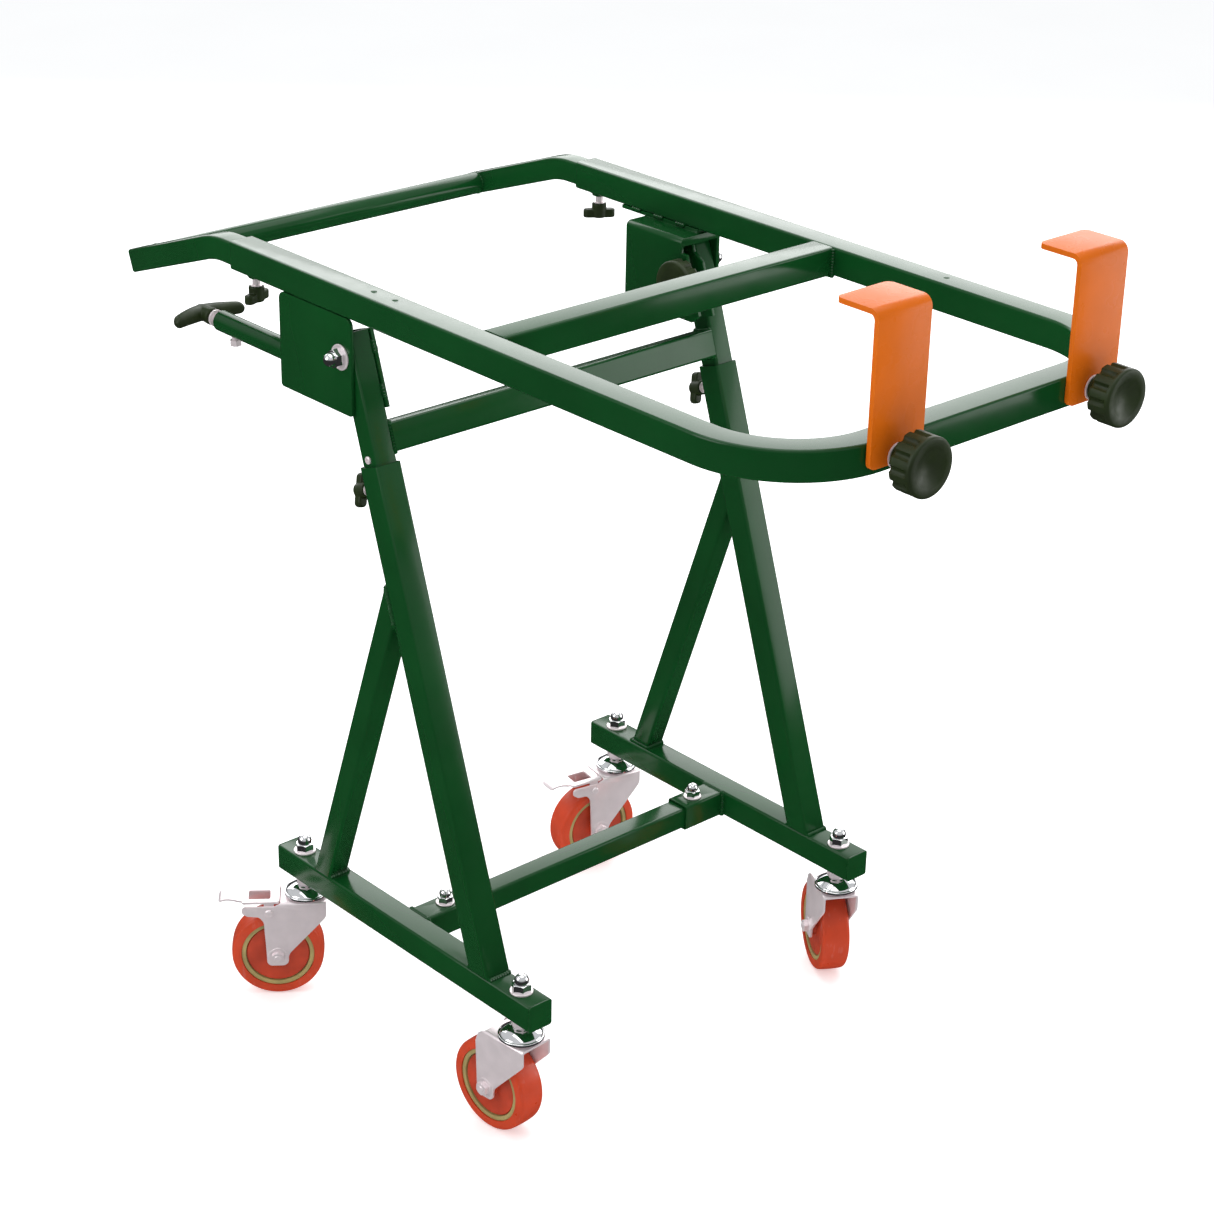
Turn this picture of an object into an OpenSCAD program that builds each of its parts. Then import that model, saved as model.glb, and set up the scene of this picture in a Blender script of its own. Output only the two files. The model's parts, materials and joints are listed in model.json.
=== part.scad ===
// Panel cart: a tilting table frame on two telescoping legs, with four swivel casters.
// X runs from the push handle (-X) to the hooks (+X), Z is up and the wheels stand on Z = 0.
// "Right" is the -Y side, which carries the tilt lock, and "left" is the +Y side.

/* [Tubes] */
// Side of the outer square tubes
tube = 30; // [28:1:34]
// Side of the inner square tubes, which slide in the outer ones
inner_tube = 25; // [22:0.5:25.5]
// Wall thickness of the square tubes
wall = 2; // [1.5:0.1:2.2]
// Radius of the rounded tube corners
corner_r = 3; // [2:0.5:4]

/* [Base] */
// Length of each base beam
base_len = 421; // [400:1:440]
// Width over the outer faces of the two base beams
base_w = 488; // [480:1:492]
// Height of the underside of the beams
beam_z = 143; // [141:1:146]
// Distance from the middle to the caster stems, along X
caster_x = 183; // [176:1:188]
// Position along X of the leg's foot, on the top face of the beam
leg_foot_x = 132.3; // [126:0.1:136]
// Angle by which the legs lean back from upright
leg_lean = 18.5; // [17.5:0.1:19.5]
// Length of the outer leg tube along its axis
leg_len = 528.4; // [500:0.1:540]
// Position along X of the brace's foot
brace_foot_x = -131.8; // [-140:0.1:-126]
// Angle by which the braces lean forward from upright
brace_lean = 19; // [18:0.1:20]

/* [Upper legs] */
// Height of the middle of the inner tube's top end, at the lowest setting
upper_top_z = 800; // [796:1:802]
// Length of the inner leg tube
upper_len = 511; // [480:1:520]
// Height of the tilt pivot, at the lowest setting
pivot_z = 778.5; // [776:0.5:780]

/* [Table] */
// Height of the table frame's top face, at the lowest setting
table_z = 850; // [848:1:856]
// Width over the outer faces of the two rails
table_w = 492; // [488:1:496]
// Position along X of the front bar's outer face
table_front_x = 532; // [500:1:540]
// Position along X of the rails' open rear ends
table_rear_x = -256; // [-262:1:-250]
// Bend radius of the front corners, on the tube's axis
corner_bend_r = 100; // [80:1:120]
// Position along X of the middle cross bar
cross_bar_x = 123; // [110:1:140]
// Position along Y of the right hook
right_hook_y = -121; // [-135:1:-110]
// Position along Y of the left hook
left_hook_y = 137; // [110:1:140]
// Height of the right hook's lower edge
right_hook_z = 828; // [819:1:828]
// Height of the left hook's lower edge
left_hook_z = 823; // [819:1:828]
// Width of a hook
hook_w = 65; // [50:1:70]
// Height of a hook, over its plate
hook_h = 141; // [120:1:150]
// Reach of a hook's top flange
hook_reach = 50; // [40:1:54]

/* [Handle] */
// Position along X of the handle bar
handle_bar_x = -432; // [-460:1:-400]
// Downward angle of the handle's arms
handle_drop = 19.5; // [15:0.5:22]
// Diameter of the handle bar
handle_bar_d = 25; // [20:0.5:25]

/* [Casters] */
// Wheel diameter
wheel_d = 102; // [100:1:104]
// Width of the tyre
tyre_w = 31; // [28:0.5:31]
// Distance from the swivel axis to the wheel's axle
trail = 32.5; // [30:0.5:34]
// Direction in which the right rear caster trails
right_rear_swivel = 232.5; // [0:0.1:360]
// Direction in which the right front caster trails
right_front_swivel = 184; // [0:0.1:360]
// Direction in which the left front caster trails
left_front_swivel = 149.5; // [0:0.1:360]
// Direction in which the left rear caster trails
left_rear_swivel = 259.5; // [0:0.1:360]

/* [Hidden] */
$fn = 48;
// the origin is on the floor, in the middle of the whole footprint
origin = [61, -15, 0];

// base
half_w = base_w / 2;
beam_y = half_w - tube / 2;
beam_top = beam_z + tube;
brace_y = half_w - inner_tube / 2;
sleeve_len = 57;
cross_bolt_y = 180;
plug_t = 2;
big = 200;

// legs, measured along the leg's own axis from the top face of the beam
leg_tan = tan(leg_lean);
pivot_back = 3;
pivot_x = leg_foot_x - (pivot_z - beam_top) * leg_tan - pivot_back;
upper_top_s = (upper_top_z - beam_top) / cos(leg_lean);
upper_half = inner_tube / 2;
leg_knob_s = leg_len - 25.6;
upper_bar_s = leg_len + 24.2;
stop_screw_s = leg_len + 7;
plate_t = 4;
side_plate_len = 79;

// pivot and lock
pivot_r = 5;
fit = 0.05;
bolt_head_y = beam_y - upper_half - plate_t - 0.4;
cheek_y = table_w / 2;
lock_z = pivot_z - 27;
lock_y = -(cheek_y - plate_t - 11);
lock_rear_x = -298;
lock_front_x = -95;
lock_r = 11;
rod_r = 5;
rod_tip_x = -77;
collar_x = -200;
spring_seat_x = -258;
guide_bolt_x = -273.5;

// table
rail_y = (table_w - tube) / 2;
rail_z = table_z - tube / 2;
bend_x = table_front_x - tube / 2 - corner_bend_r;
bend_y = rail_y - corner_bend_r;
knob_x = -233;
strip_t = 4;
far_x = [-142, -56];
far_inner_y = 189;
clamp_x = -46;
clamp_z = 770;
hook_t = 5;
hook_gap = 0.3;
hook_bend_r = 10;

// handle
arm_bend_x = -275;
arm_bend_run = 33;
arm_bend_r = arm_bend_run / sin(handle_drop);
arm_bend_drop = arm_bend_r * (1 - cos(handle_drop));
arm_bend_steps = 10;
arm_front_x = 10;
arm_len = 145.5;

// casters
axle_z = wheel_d / 2;
stem_r = 6;
fork_in = 17.5;
fork_t = 2.5;
crown_z = 115.5;
crown_t = 3;
axle_r = 4;
bush_r = 6;
core_r = 40;
pedal_pin = [40.6, 106];

paint = "#1f5a30";
orange = "#d46826";
zinc = "#c8c8cc";
black = "#262a1f";
red = "#c84022";
tan_rim = "#aa9b64";

// ---- frames of reference ----

// Puts a piece in the part's own frame
module place() translate(-origin) children();

// Frame of a leg: origin at the leg's foot, z up along the leg, x towards the front
module on_leg(side) translate([leg_foot_x, side * beam_y, beam_top])
    rotate([0, -leg_lean, 0]) children();

// Frame of a caster: origin on the floor under the stem, x in the direction it trails
module on_caster(side_x, side_y, swivel) translate([side_x * caster_x, side_y * beam_y, 0])
    rotate([0, 0, swivel]) children();

// Turns a piece that is made along z so that it lies along +x, or along side * y
module along_x() rotate([0, 90, 0]) children();
module along_y(side) rotate([-90 * side, 0, 0]) children();

// Extrudes an outline drawn in x and z by t along +y, from y = from
module upright(from, t) translate([0, from + t, 0]) rotate([90, 0, 0])
    linear_extrude(t) children();

// ---- shared shapes ----

module rounded_square(a, b, r) {
    square([a - 2 * r, b], center = true);
    square([a, b - 2 * r], center = true);
    for (x = [-1, 1], y = [-1, 1])
        translate([x * (a / 2 - r), y * (b / 2 - r)]) circle(r, $fn = 32);
}

module tube_section(side) difference() {
    rounded_square(side, side, corner_r);
    rounded_square(side - 2 * wall, side - 2 * wall, corner_r - 1.5);
}

module straight_tube(side, len) linear_extrude(len) tube_section(side);

module hexagon(across) circle(across / sqrt(3), $fn = 6);

// Domed cap nut standing on z = 0
module cap_nut(across, r) difference() {
    union() {
        linear_extrude(across * 0.45) hexagon(across);
        translate([0, 0, across * 0.45]) cylinder(r = across * 0.42, h = across * 0.18);
        translate([0, 0, across * 0.6]) sphere(across * 0.42);
    }
    translate([0, 0, -across]) cylinder(r = across, h = across);
    translate([0, 0, -1]) cylinder(r = r + fit, h = across * 0.7 + 1);
}

// Small wing knob on a stud, made along z from the stud's tip, with its wings along x
module wing_knob(stud_len) {
    cylinder(r = 4, h = stud_len + 6);
    translate([0, 0, stud_len]) cylinder(r = 8, h = 16.5);
    translate([0, 0, stud_len + 7]) linear_extrude(9.5) {
        square([25, 10], center = true);
        for (x = [-12.5, 12.5]) translate([x, 0]) circle(5, $fn = 32);
    }
}

// Large fluted knob with a dished face, made along z from the stud's tip
module fluted_knob(stud_len, hub_len, head_len) {
    hub_z = stud_len + 2;
    head_z = hub_z + hub_len;
    cylinder(r = pivot_r, h = head_z + 1);
    translate([0, 0, stud_len]) cylinder(r = 12, h = 2);
    translate([0, 0, hub_z]) cylinder(r = 11, h = hub_len);
    translate([0, 0, head_z]) difference() {
        cylinder(r = 27.5, h = head_len);
        for (i = [0:11]) rotate(30 * i) translate([30.5, 0, -1])
            cylinder(r = 5, h = head_len - 5, $fn = 24);
        translate([0, 0, head_len - 4]) cylinder(r1 = 14, r2 = 18, h = 4.01);
    }
}

// Straight taper between two round ends, as an outline
module taper(p, r1, q, r2) {
    d = (q - p) / norm(q - p);
    n = [-d[1], d[0]];
    translate(p) circle(r1);
    translate(q) circle(r2);
    polygon([p + n * r1, q + n * r2, q - n * r2, p - n * r1]);
}

// Rectangle from [x, z] to [x, z] with its corners rounded by r
module plate_outline(low, high, r) {
    size = high - low;
    translate(low + size / 2) rounded_square(size[0], size[1], r);
}

// ---- base ----

module base_beam(side) color(paint) place() difference() {
    translate([-base_len / 2, side * beam_y, beam_z + tube / 2]) along_x()
        straight_tube(tube, base_len);
    for (x = [-caster_x, caster_x]) translate([x, side * beam_y, beam_z - 1])
        cylinder(r = stem_r + fit, h = tube + 2);
}

module right_base_beam() base_beam(-1);
module left_base_beam() base_beam(1);

// Square leg tube, cut level at the foot, with a welded nut for its clamp knob
module leg_tube(side) color(paint) place() difference() {
    on_leg(side) union() {
        translate([0, 0, -tube]) straight_tube(tube, leg_len + tube);
        translate([-tube / 2 - 7, 0, leg_knob_s]) along_x() cylinder(r = 8, h = 7.5);
    }
    translate([leg_foot_x - big / 2, side * beam_y - tube, beam_top - big])
        cube([big, 2 * tube, big]);
    on_leg(side) translate([-tube, 0, leg_knob_s]) along_x() cylinder(r = 4 + fit, h = tube - 5);
}

module right_leg_tube() leg_tube(-1);
module left_leg_tube() leg_tube(1);

// Brace from the rear of the beam to the back of the leg
module brace_tube(side) color(paint) place() difference() {
    translate([brace_foot_x, side * brace_y, beam_top]) rotate([0, brace_lean, 0])
        translate([0, 0, -tube]) straight_tube(inner_tube, 520);
    translate([brace_foot_x - big / 2, side * brace_y - tube, beam_top - big])
        cube([big, 2 * tube, big]);
    on_leg(side) translate([-tube / 2, -tube, 0]) cube([big * 2, 2 * tube, leg_len + big]);
}

module right_brace_tube() brace_tube(-1);
module left_brace_tube() brace_tube(1);

module cross_tube_holes() for (side = [-1, 1])
    translate([0, side * cross_bolt_y, beam_z - 1]) cylinder(r = 4 + fit, h = tube + 2);

module lower_cross_tube() color(paint) place() difference() {
    translate([0, -205, beam_z + tube / 2]) along_y(1) straight_tube(inner_tube, 410);
    cross_tube_holes();
}

module cross_tube_sleeves() color(paint) place() difference() {
    for (side = [-1, 1]) translate([0, side * (half_w - tube), beam_z + tube / 2])
        along_y(-side) straight_tube(tube, sleeve_len);
    cross_tube_holes();
}

module cross_tube_bolts() color(zinc) place() for (side = [-1, 1])
    translate([0, side * cross_bolt_y, 0]) {
        translate([0, 0, beam_z - 5.5]) linear_extrude(5.5) hexagon(13);
        translate([0, 0, beam_z - 1]) cylinder(r = 4, h = tube + 7);
        translate([0, 0, beam_top]) cylinder(r = 10, h = 1.6);
        translate([0, 0, beam_top + 1.6]) cap_nut(15, 4);
    }

module base_end_plugs() color(paint) place() for (x = [-1, 1], side = [-1, 1])
    translate([x * (base_len / 2 - 8), side * beam_y, beam_z + tube / 2])
        rotate([0, x * 90, 0]) {
            linear_extrude(8) rounded_square(tube - 2 * wall - 0.2, tube - 2 * wall - 0.2, 1.5);
            translate([0, 0, 8]) linear_extrude(plug_t) rounded_square(tube, tube, corner_r);
        }

// ---- casters ----

module at_stems() for (x = [-1, 1], side = [-1, 1])
    translate([x * caster_x, side * beam_y, 0]) children();

// Threaded stem with the rivet head that holds the fork
module caster_stems() color(zinc) place() at_stems() {
    translate([0, 0, crown_z - 3]) cylinder(r = 10, h = 2.6);
    translate([0, 0, crown_z - 1]) cylinder(r = stem_r, h = beam_top + 12 - crown_z);
}

// Domed race over the swivel bearing
module caster_caps() color(zinc) place() at_stems() translate([0, 0, crown_z + crown_t + 2.6])
    rotate_extrude() difference() {
        union() {
            intersection() {
                translate([0, -22]) circle(34);
                square([24, 12]);
            }
            square([24, 3]);
        }
        translate([0, -1]) square([stem_r + fit, 20]);
    }

// Lock nut under the beam, and washer and cap nut on top of it
module caster_nuts() color(zinc) place() at_stems() {
    translate([0, 0, beam_z - 9.2]) difference() {
        linear_extrude(9.2) hexagon(19);
        translate([0, 0, -1]) cylinder(r = stem_r + fit, h = 12);
    }
    translate([0, 0, beam_top]) difference() {
        cylinder(r = 12, h = 2);
        translate([0, 0, -1]) cylinder(r = stem_r + fit, h = 4);
    }
    translate([0, 0, beam_top + 2]) cap_nut(18, stem_r);
}

module caster_bearings() color(zinc) place() at_stems() translate([0, 0, crown_z + crown_t + 0.4])
    difference() {
        cylinder(r = 20, h = 2.1);
        translate([0, 0, -1]) cylinder(r = 9, h = 4);
    }

// Outline of a fork's side in x and z; a braked fork has an ear for the pedal
module fork_outline(braked) {
    crown_top = crown_z + crown_t;
    back = [[44.5, axle_z], [20.5, axle_z], [-22, 100], [-22, crown_top]];
    if (braked)
        polygon(concat(back, [[28, crown_top], [34, 114], [68, 114], [70, 112], [70, 106],
            [66, 102.5], [51, 101.5], [46, 97]]));
    else
        polygon(concat(back, [[36, crown_top], [44, 112], [46.5, 104]]));
    translate([trail, axle_z]) circle(12);
}

// Pressed fork: a crown round the stem and two sides that hold the axle
module fork(side_x, side_y, swivel, braked) color(zinc) place() on_caster(side_x, side_y, swivel)
    difference() {
        union() {
            for (y = [-fork_in - fork_t, fork_in]) upright(y, fork_t) fork_outline(braked);
            translate([-22, -fork_in - fork_t, crown_z]) cube([50, 2 * (fork_in + fork_t), crown_t]);
            if (braked) translate([pedal_pin[0], -fork_in - fork_t - 1.5, pedal_pin[1]])
                along_y(1) cylinder(r = 3, h = 2 * (fork_in + fork_t + 1.5));
        }
        translate([0, 0, crown_z - 1]) cylinder(r = stem_r + fit, h = crown_t + 2);
        translate([trail, -30, axle_z]) along_y(1) cylinder(r = axle_r + fit, h = 60);
    }

module right_rear_fork() fork(-1, -1, right_rear_swivel, true);
module right_front_fork() fork(1, -1, right_front_swivel, false);
module left_front_fork() fork(1, 1, left_front_swivel, false);
module left_rear_fork() fork(-1, 1, left_rear_swivel, true);

// Puts a piece that is made along z on a caster's axle
module on_axle(side_x, side_y, swivel) on_caster(side_x, side_y, swivel)
    translate([trail, 0, axle_z]) along_y(1) children();

// Axle bolt with its head, nut and the bush on which the wheel turns
module axle(side_x, side_y, swivel) color(zinc) place() on_axle(side_x, side_y, swivel) {
    outer = fork_in + fork_t;
    translate([0, 0, -outer - 5]) linear_extrude(5) hexagon(13);
    translate([0, 0, -outer - 1]) cylinder(r = axle_r, h = 2 * outer + 8);
    translate([0, 0, outer]) linear_extrude(6) hexagon(13);
    translate([0, 0, -fork_in + 0.1]) cylinder(r = bush_r, h = 2 * fork_in - 0.2);
}

module right_rear_axle() axle(-1, -1, right_rear_swivel);
module right_front_axle() axle(1, -1, right_front_swivel);
module left_front_axle() axle(1, 1, left_front_swivel);
module left_rear_axle() axle(-1, 1, left_rear_swivel);

// Wheel centre: a hub, a flat disc and a rim that stands proud of it behind a narrow groove
module core(side_x, side_y, swivel) color(tan_rim) place() on_axle(side_x, side_y, swivel)
    rotate_extrude($fn = 64) {
        for (step = [[11, 16.8], [34, 12.5], [36, 10.5]])
            translate([bush_r + fit, -step[1]]) square([step[0] - bush_r - fit, 2 * step[1]]);
        translate([35.2, -14]) square([core_r - 35.2, 28]);
    }

module right_rear_core() core(-1, -1, right_rear_swivel);
module right_front_core() core(1, -1, right_front_swivel);
module left_front_core() core(1, 1, left_front_swivel);
module left_rear_core() core(-1, 1, left_rear_swivel);

// Tyre moulded round the wheel centre
module tyre(side_x, side_y, swivel) color(red) place() on_axle(side_x, side_y, swivel)
    rotate_extrude($fn = 96) intersection() {
        translate([core_r, -tyre_w / 2]) square([wheel_d / 2 - core_r, tyre_w]);
        rounded_square(wheel_d, tyre_w, 4);
    }

module right_rear_tyre() tyre(-1, -1, right_rear_swivel);
module right_front_tyre() tyre(1, -1, right_front_swivel);
module left_front_tyre() tyre(1, 1, left_front_swivel);
module left_rear_tyre() tyre(-1, 1, left_rear_swivel);

// Brake pedal: a plate with a window, a tongue for the foot and two ears on the pin
module pedal(side_x, side_y, swivel) color(zinc) place() on_caster(side_x, side_y, swivel)
    difference() {
        union() {
            translate([0, 0, crown_z + 0.5]) linear_extrude(2.5) difference() {
                translate([29, -17]) square([41, 34]);
                translate([39, -9]) square([24, 18]);
            }
            upright(-13, 26) polygon([[69, 116], [69, 118.5], [80, 121.5], [90, 121], [96, 116],
                [94, 114], [89, 118.3], [80, 118.8]]);
            for (y = [-17, 15.9]) upright(y, 1.1) {
                translate(pedal_pin) circle(5.5);
                translate([35.1, 106]) square([11, 12]);
            }
        }
        translate([pedal_pin[0], -20, pedal_pin[1]]) along_y(1) cylinder(r = 3 + fit, h = 40);
    }

module right_rear_pedal() pedal(-1, -1, right_rear_swivel);
module left_rear_pedal() pedal(-1, 1, left_rear_swivel);

// ---- upper legs ----

// Inner leg tube with its pivot hole, the hole for the stop screw and, on the right, the
// hole that the lock rod enters
module upper_leg(side) color(paint) place() difference() {
    on_leg(side) translate([0, 0, upper_top_s - upper_len]) straight_tube(inner_tube, upper_len);
    translate([pivot_x, side * beam_y - tube, pivot_z]) along_y(1)
        cylinder(r = pivot_r + fit, h = 2 * tube);
    on_leg(side) translate([0, 0, stop_screw_s]) along_y(side) cylinder(r = 3 + fit, h = tube);
    if (side < 0) translate([rod_tip_x - 10, lock_y, lock_z]) along_x()
        cylinder(r = rod_r + fit, h = 22);
}

module right_upper_leg() upper_leg(-1);
module left_upper_leg() upper_leg(1);

module upper_cross_bar() color(paint) place() on_leg(0)
    translate([0, -beam_y + upper_half, upper_bar_s]) along_y(1)
        straight_tube(tube, 2 * (beam_y - upper_half));

// Stiffening plates on the inner faces; the left one is wider, for the clamp knob to press on
module leg_side_plates() color(paint) place() difference() {
    for (side = [-1, 1]) on_leg(side)
        upright(side > 0 ? -upper_half - plate_t : upper_half, plate_t)
            polygon(side > 0
                ? [[-12.5, 582], [24.5, 582], [24.5, 640], [14, 652], [14, 661], [-12.5, 661]]
                : [[-12.5, 582], [13.5, 582], [13.5, 661], [-12.5, 661]]);
    for (side = [-1, 1]) translate([pivot_x, side * beam_y - tube, pivot_z]) along_y(1)
        cylinder(r = pivot_r + fit, h = 2 * tube);
}

// Screws that rest on the outer tubes when the legs are right down
module height_stop_screws() color(zinc) place() for (side = [-1, 1]) on_leg(side)
    translate([0, side * upper_half, stop_screw_s]) along_y(side) {
        cylinder(r = 4, h = 2.2);
        translate([0, 0, -4]) cylinder(r = 3, h = 5);
    }

// Clamp knob on the back of an outer leg tube
module leg_knob(side) color(black) place() on_leg(side)
    translate([-upper_half - 0.7, 0, leg_knob_s]) rotate([0, -90, 0]) rotate(20) wing_knob(16.5);

module right_leg_knob() leg_knob(-1);
module left_leg_knob() leg_knob(1);

// ---- table ----

// Both rails and the front bar, bent from one tube, with a welded nut under each rail and
// the two holes for the hook knobs
module table_frame() color(paint) place() difference() {
    union() {
        for (side = [-1, 1]) {
            translate([table_rear_x, side * rail_y, rail_z]) along_x()
                straight_tube(tube, bend_x - table_rear_x);
            translate([bend_x, side * bend_y, rail_z]) rotate([0, 0, side > 0 ? 0 : -90])
                rotate_extrude(angle = 90, $fn = 96) translate([corner_bend_r, 0])
                    tube_section(tube);
            translate([knob_x, side * rail_y, table_z - tube - 5]) cylinder(r = 8, h = 5.5);
        }
        translate([bend_x + corner_bend_r, -bend_y, rail_z]) along_y(1)
            straight_tube(tube, 2 * bend_y);
    }
    for (side = [-1, 1]) translate([knob_x, side * rail_y, table_z - tube - 6])
        cylinder(r = 4 + fit, h = 12);
    for (y = [right_hook_y, left_hook_y]) translate([table_front_x - tube - 1, y, rail_z])
        along_x() cylinder(r = pivot_r + fit, h = tube + 2);
}

module table_cross_bar() color(paint) place()
    translate([cross_bar_x, -rail_y + tube / 2, rail_z]) along_y(1)
        straight_tube(tube, 2 * rail_y - tube);

module right_pivot_bracket() color(paint) place() difference() {
    upright(-cheek_y, plate_t) {
        plate_outline([-174, 720], [-57, table_z - tube - 20], 4);
        plate_outline([-174, 740], [-57, table_z - tube], 8);
    }
    translate([pivot_x, -cheek_y - 1, pivot_z]) along_y(1) cylinder(r = pivot_r + fit, h = 6);
}

// Folded bracket: a pad under the rail, a top web, two cheeks and a front lip
module left_pivot_bracket() color(paint) place() {
    web_top = table_z - tube - strip_t;
    translate([-179, rail_y - tube / 2, web_top]) cube([119, tube, strip_t]);
    difference() {
        union() {
            difference() {
                translate([far_x[0], (far_inner_y + cheek_y) / 2, web_top - 40]) along_x()
                    linear_extrude(far_x[1] - far_x[0])
                        rounded_square(80, cheek_y - far_inner_y, 6);
                translate([far_x[0] - 1, far_inner_y + plate_t, web_top - 90])
                    cube([100, cheek_y - far_inner_y - 2 * plate_t, 90 - plate_t]);
                translate([far_x[0] - 1, far_inner_y - 1, web_top - 100])
                    cube([100, 80, 84]);
            }
            upright(far_inner_y, plate_t) polygon([[far_x[0], 800], [far_x[0], 736],
                [far_x[0] + 8, 728.5], [-36, 728.5], [-25.5, 738], [-48, 800]]);
            upright(cheek_y - plate_t, plate_t) polygon([[far_x[0], 800], [far_x[0], 716],
                [far_x[0] + 8, 708], [-65, 708], [far_x[1], 716], [far_x[1], 800]]);
            translate([far_x[1] - 3, far_inner_y + 3, web_top - 9])
                cube([3, cheek_y - far_inner_y - 6, 8]);
            translate([clamp_x, far_inner_y + plate_t - 0.5, clamp_z]) along_y(1)
                cylinder(r = 8, h = 6.5);
        }
        translate([clamp_x, far_inner_y - 1, clamp_z]) along_y(1)
            cylinder(r = pivot_r + fit, h = 14);
        translate([pivot_x, cheek_y - plate_t - 1, pivot_z]) along_y(1)
            cylinder(r = pivot_r + fit, h = 8);
    }
}

module pivot_bolts() color(zinc) place() for (side = [-1, 1])
    translate([pivot_x, side * bolt_head_y, pivot_z]) along_y(side) {
        shank = cheek_y - bolt_head_y;
        translate([0, 0, -6.4]) linear_extrude(6.4) hexagon(16);
        translate([0, 0, -1]) cylinder(r = pivot_r, h = shank + 10);
        translate([0, 0, shank]) cylinder(r = 13, h = 2);
        translate([0, 0, shank + 2]) cap_nut(17, pivot_r);
    }

// Tube of the tilt lock, with two end bushes and a seat for the spring
module lock_tube() color(paint) place() translate([lock_rear_x, lock_y, lock_z]) along_x()
    difference() {
        len = lock_front_x - lock_rear_x;
        cylinder(r = lock_r, h = len);
        for (span = [[8, spring_seat_x - lock_rear_x - 6],
                [spring_seat_x - lock_rear_x, len - 10]])
            translate([0, 0, span[0]]) cylinder(r = lock_r - 2, h = span[1] - span[0]);
        translate([0, 0, -1]) cylinder(r = rod_r + fit, h = len + 2);
        translate([-5, 0, guide_bolt_x - lock_rear_x]) rotate([0, 90, 0])
            cylinder(r = 4 + fit, h = 30);
    }

module lock_guide_bolt() color(zinc) place() translate([guide_bolt_x, lock_y, lock_z]) {
    translate([0, 0, -rod_r - 9]) cylinder(r = 4, h = 8.5);
    translate([0, 0, -rod_r - 15]) linear_extrude(6.4) hexagon(11);
}

// Coil spring round the rod: a wire with a six-sided section, swept along a helix
module lock_spring() color(zinc) place() translate([spring_seat_x, lock_y, lock_z]) along_x() {
    turns = 8;
    steps = 14;
    wire_r = 0.7;
    coil_r = 7.2;
    length = collar_x - spring_seat_x - 2 * wire_r - 0.4;
    count = turns * steps;
    points = [for (i = [0:count], k = [0:5])
        let (turn = 360 * i / steps, r = coil_r + wire_r * cos(60 * k))
        [r * cos(turn), r * sin(turn), wire_r + 0.2 + length * i / count + wire_r * sin(60 * k)]];
    sides = [for (i = [0:count - 1], k = [0:5])
        let (n = (k + 1) % 6, a = 6 * i)
        [a + k, a + 6 + k, a + 6 + n, a + n]];
    ends = [[for (k = [0:5]) k], [for (k = [5:-1:0]) 6 * count + k]];
    polyhedron(points, concat(sides, ends), convexity = 10);
}

module lock_rod() color(zinc) place() translate([0, lock_y, lock_z]) along_x() {
    translate([0, 0, -318]) cylinder(r = rod_r, h = 318 + rod_tip_x);
    translate([0, 0, collar_x]) cylinder(r = 8.5, h = 6);
    translate([0, 0, lock_rear_x - 10.7]) cylinder(r = 9, h = 2);
}

// Pull handle across the end of the rod, with its arms swept towards the tube
module t_handle() color(black) place() difference() {
    translate([0, lock_y, lock_z]) {
        translate([-336, 0, 0]) along_x() cylinder(r = 9.5, h = 27);
        translate([0, 0, -8]) linear_extrude(16) for (s = [-1, 1])
            taper([-333, 0], 9, [-322, s * 37.5], 5.5);
    }
    translate([-319, lock_y, lock_z]) along_x() cylinder(r = rod_r + fit, h = 30);
}

// ---- push handle ----

// Edge of a handle arm, from its front end over the bend to its rear end, at a height over
// the arm's axis, and running past both ends
function arm_edge(over, past) = concat(
    [[arm_front_x - arm_bend_x + past, over]],
    [for (i = [0:arm_bend_steps]) let (a = handle_drop * i / arm_bend_steps, r = arm_bend_r + over)
        [-r * sin(a), r * cos(a) - arm_bend_r]],
    [[-arm_bend_run, -arm_bend_drop] - (arm_len + past) * [cos(handle_drop), sin(handle_drop)]
        + over * [-sin(handle_drop), cos(handle_drop)]]);

module arm_outline(height, past) {
    upper = arm_edge(height / 2, past);
    lower = arm_edge(-height / 2, past);
    polygon(concat(upper, [for (i = [len(lower) - 1:-1:0]) lower[i]]));
}

// Square tube that slides in a rail and bends down to the bar
module handle_arm(side) color(paint) place() translate([arm_bend_x, side * rail_y, rail_z])
    difference() {
        upright(-upper_half, inner_tube) arm_outline(inner_tube, 0);
        upright(-upper_half + wall, inner_tube - 2 * wall) arm_outline(inner_tube - 2 * wall, 1);
    }

module right_handle_arm() handle_arm(-1);
module left_handle_arm() handle_arm(1);

module handle_bar() color(paint) place()
    translate([handle_bar_x, -rail_y + upper_half,
        rail_z - arm_bend_drop + (handle_bar_x - arm_bend_x + arm_bend_run) * tan(handle_drop)])
    along_y(1) difference() {
        cylinder(r = handle_bar_d / 2, h = 2 * (rail_y - upper_half));
        translate([0, 0, -1]) cylinder(r = handle_bar_d / 2 - 1.5, h = 2 * rail_y);
    }

module handle_end_plugs() color(paint) place() for (side = [-1, 1])
    translate([arm_bend_x - arm_bend_run, side * rail_y, rail_z - arm_bend_drop])
        rotate([0, -90 - handle_drop, 0]) translate([0, 0, arm_len - 10]) {
            bore = inner_tube - 2 * wall - 0.2;
            linear_extrude(10) rounded_square(bore, bore, 1.2);
            translate([0, 0, 10]) linear_extrude(1.5) rounded_square(inner_tube, inner_tube, 3);
        }

// Clamp knob under a rail, with its wings turned from x
module rail_knob(side, turn) color(black) place() translate([knob_x, side * rail_y,
    rail_z - upper_half - 0.5]) rotate([180, 0, turn]) wing_knob(15.5);

module right_rail_knob() rail_knob(-1, 110);
module left_rail_knob() rail_knob(1, 55);

// ---- hooks ----

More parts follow.
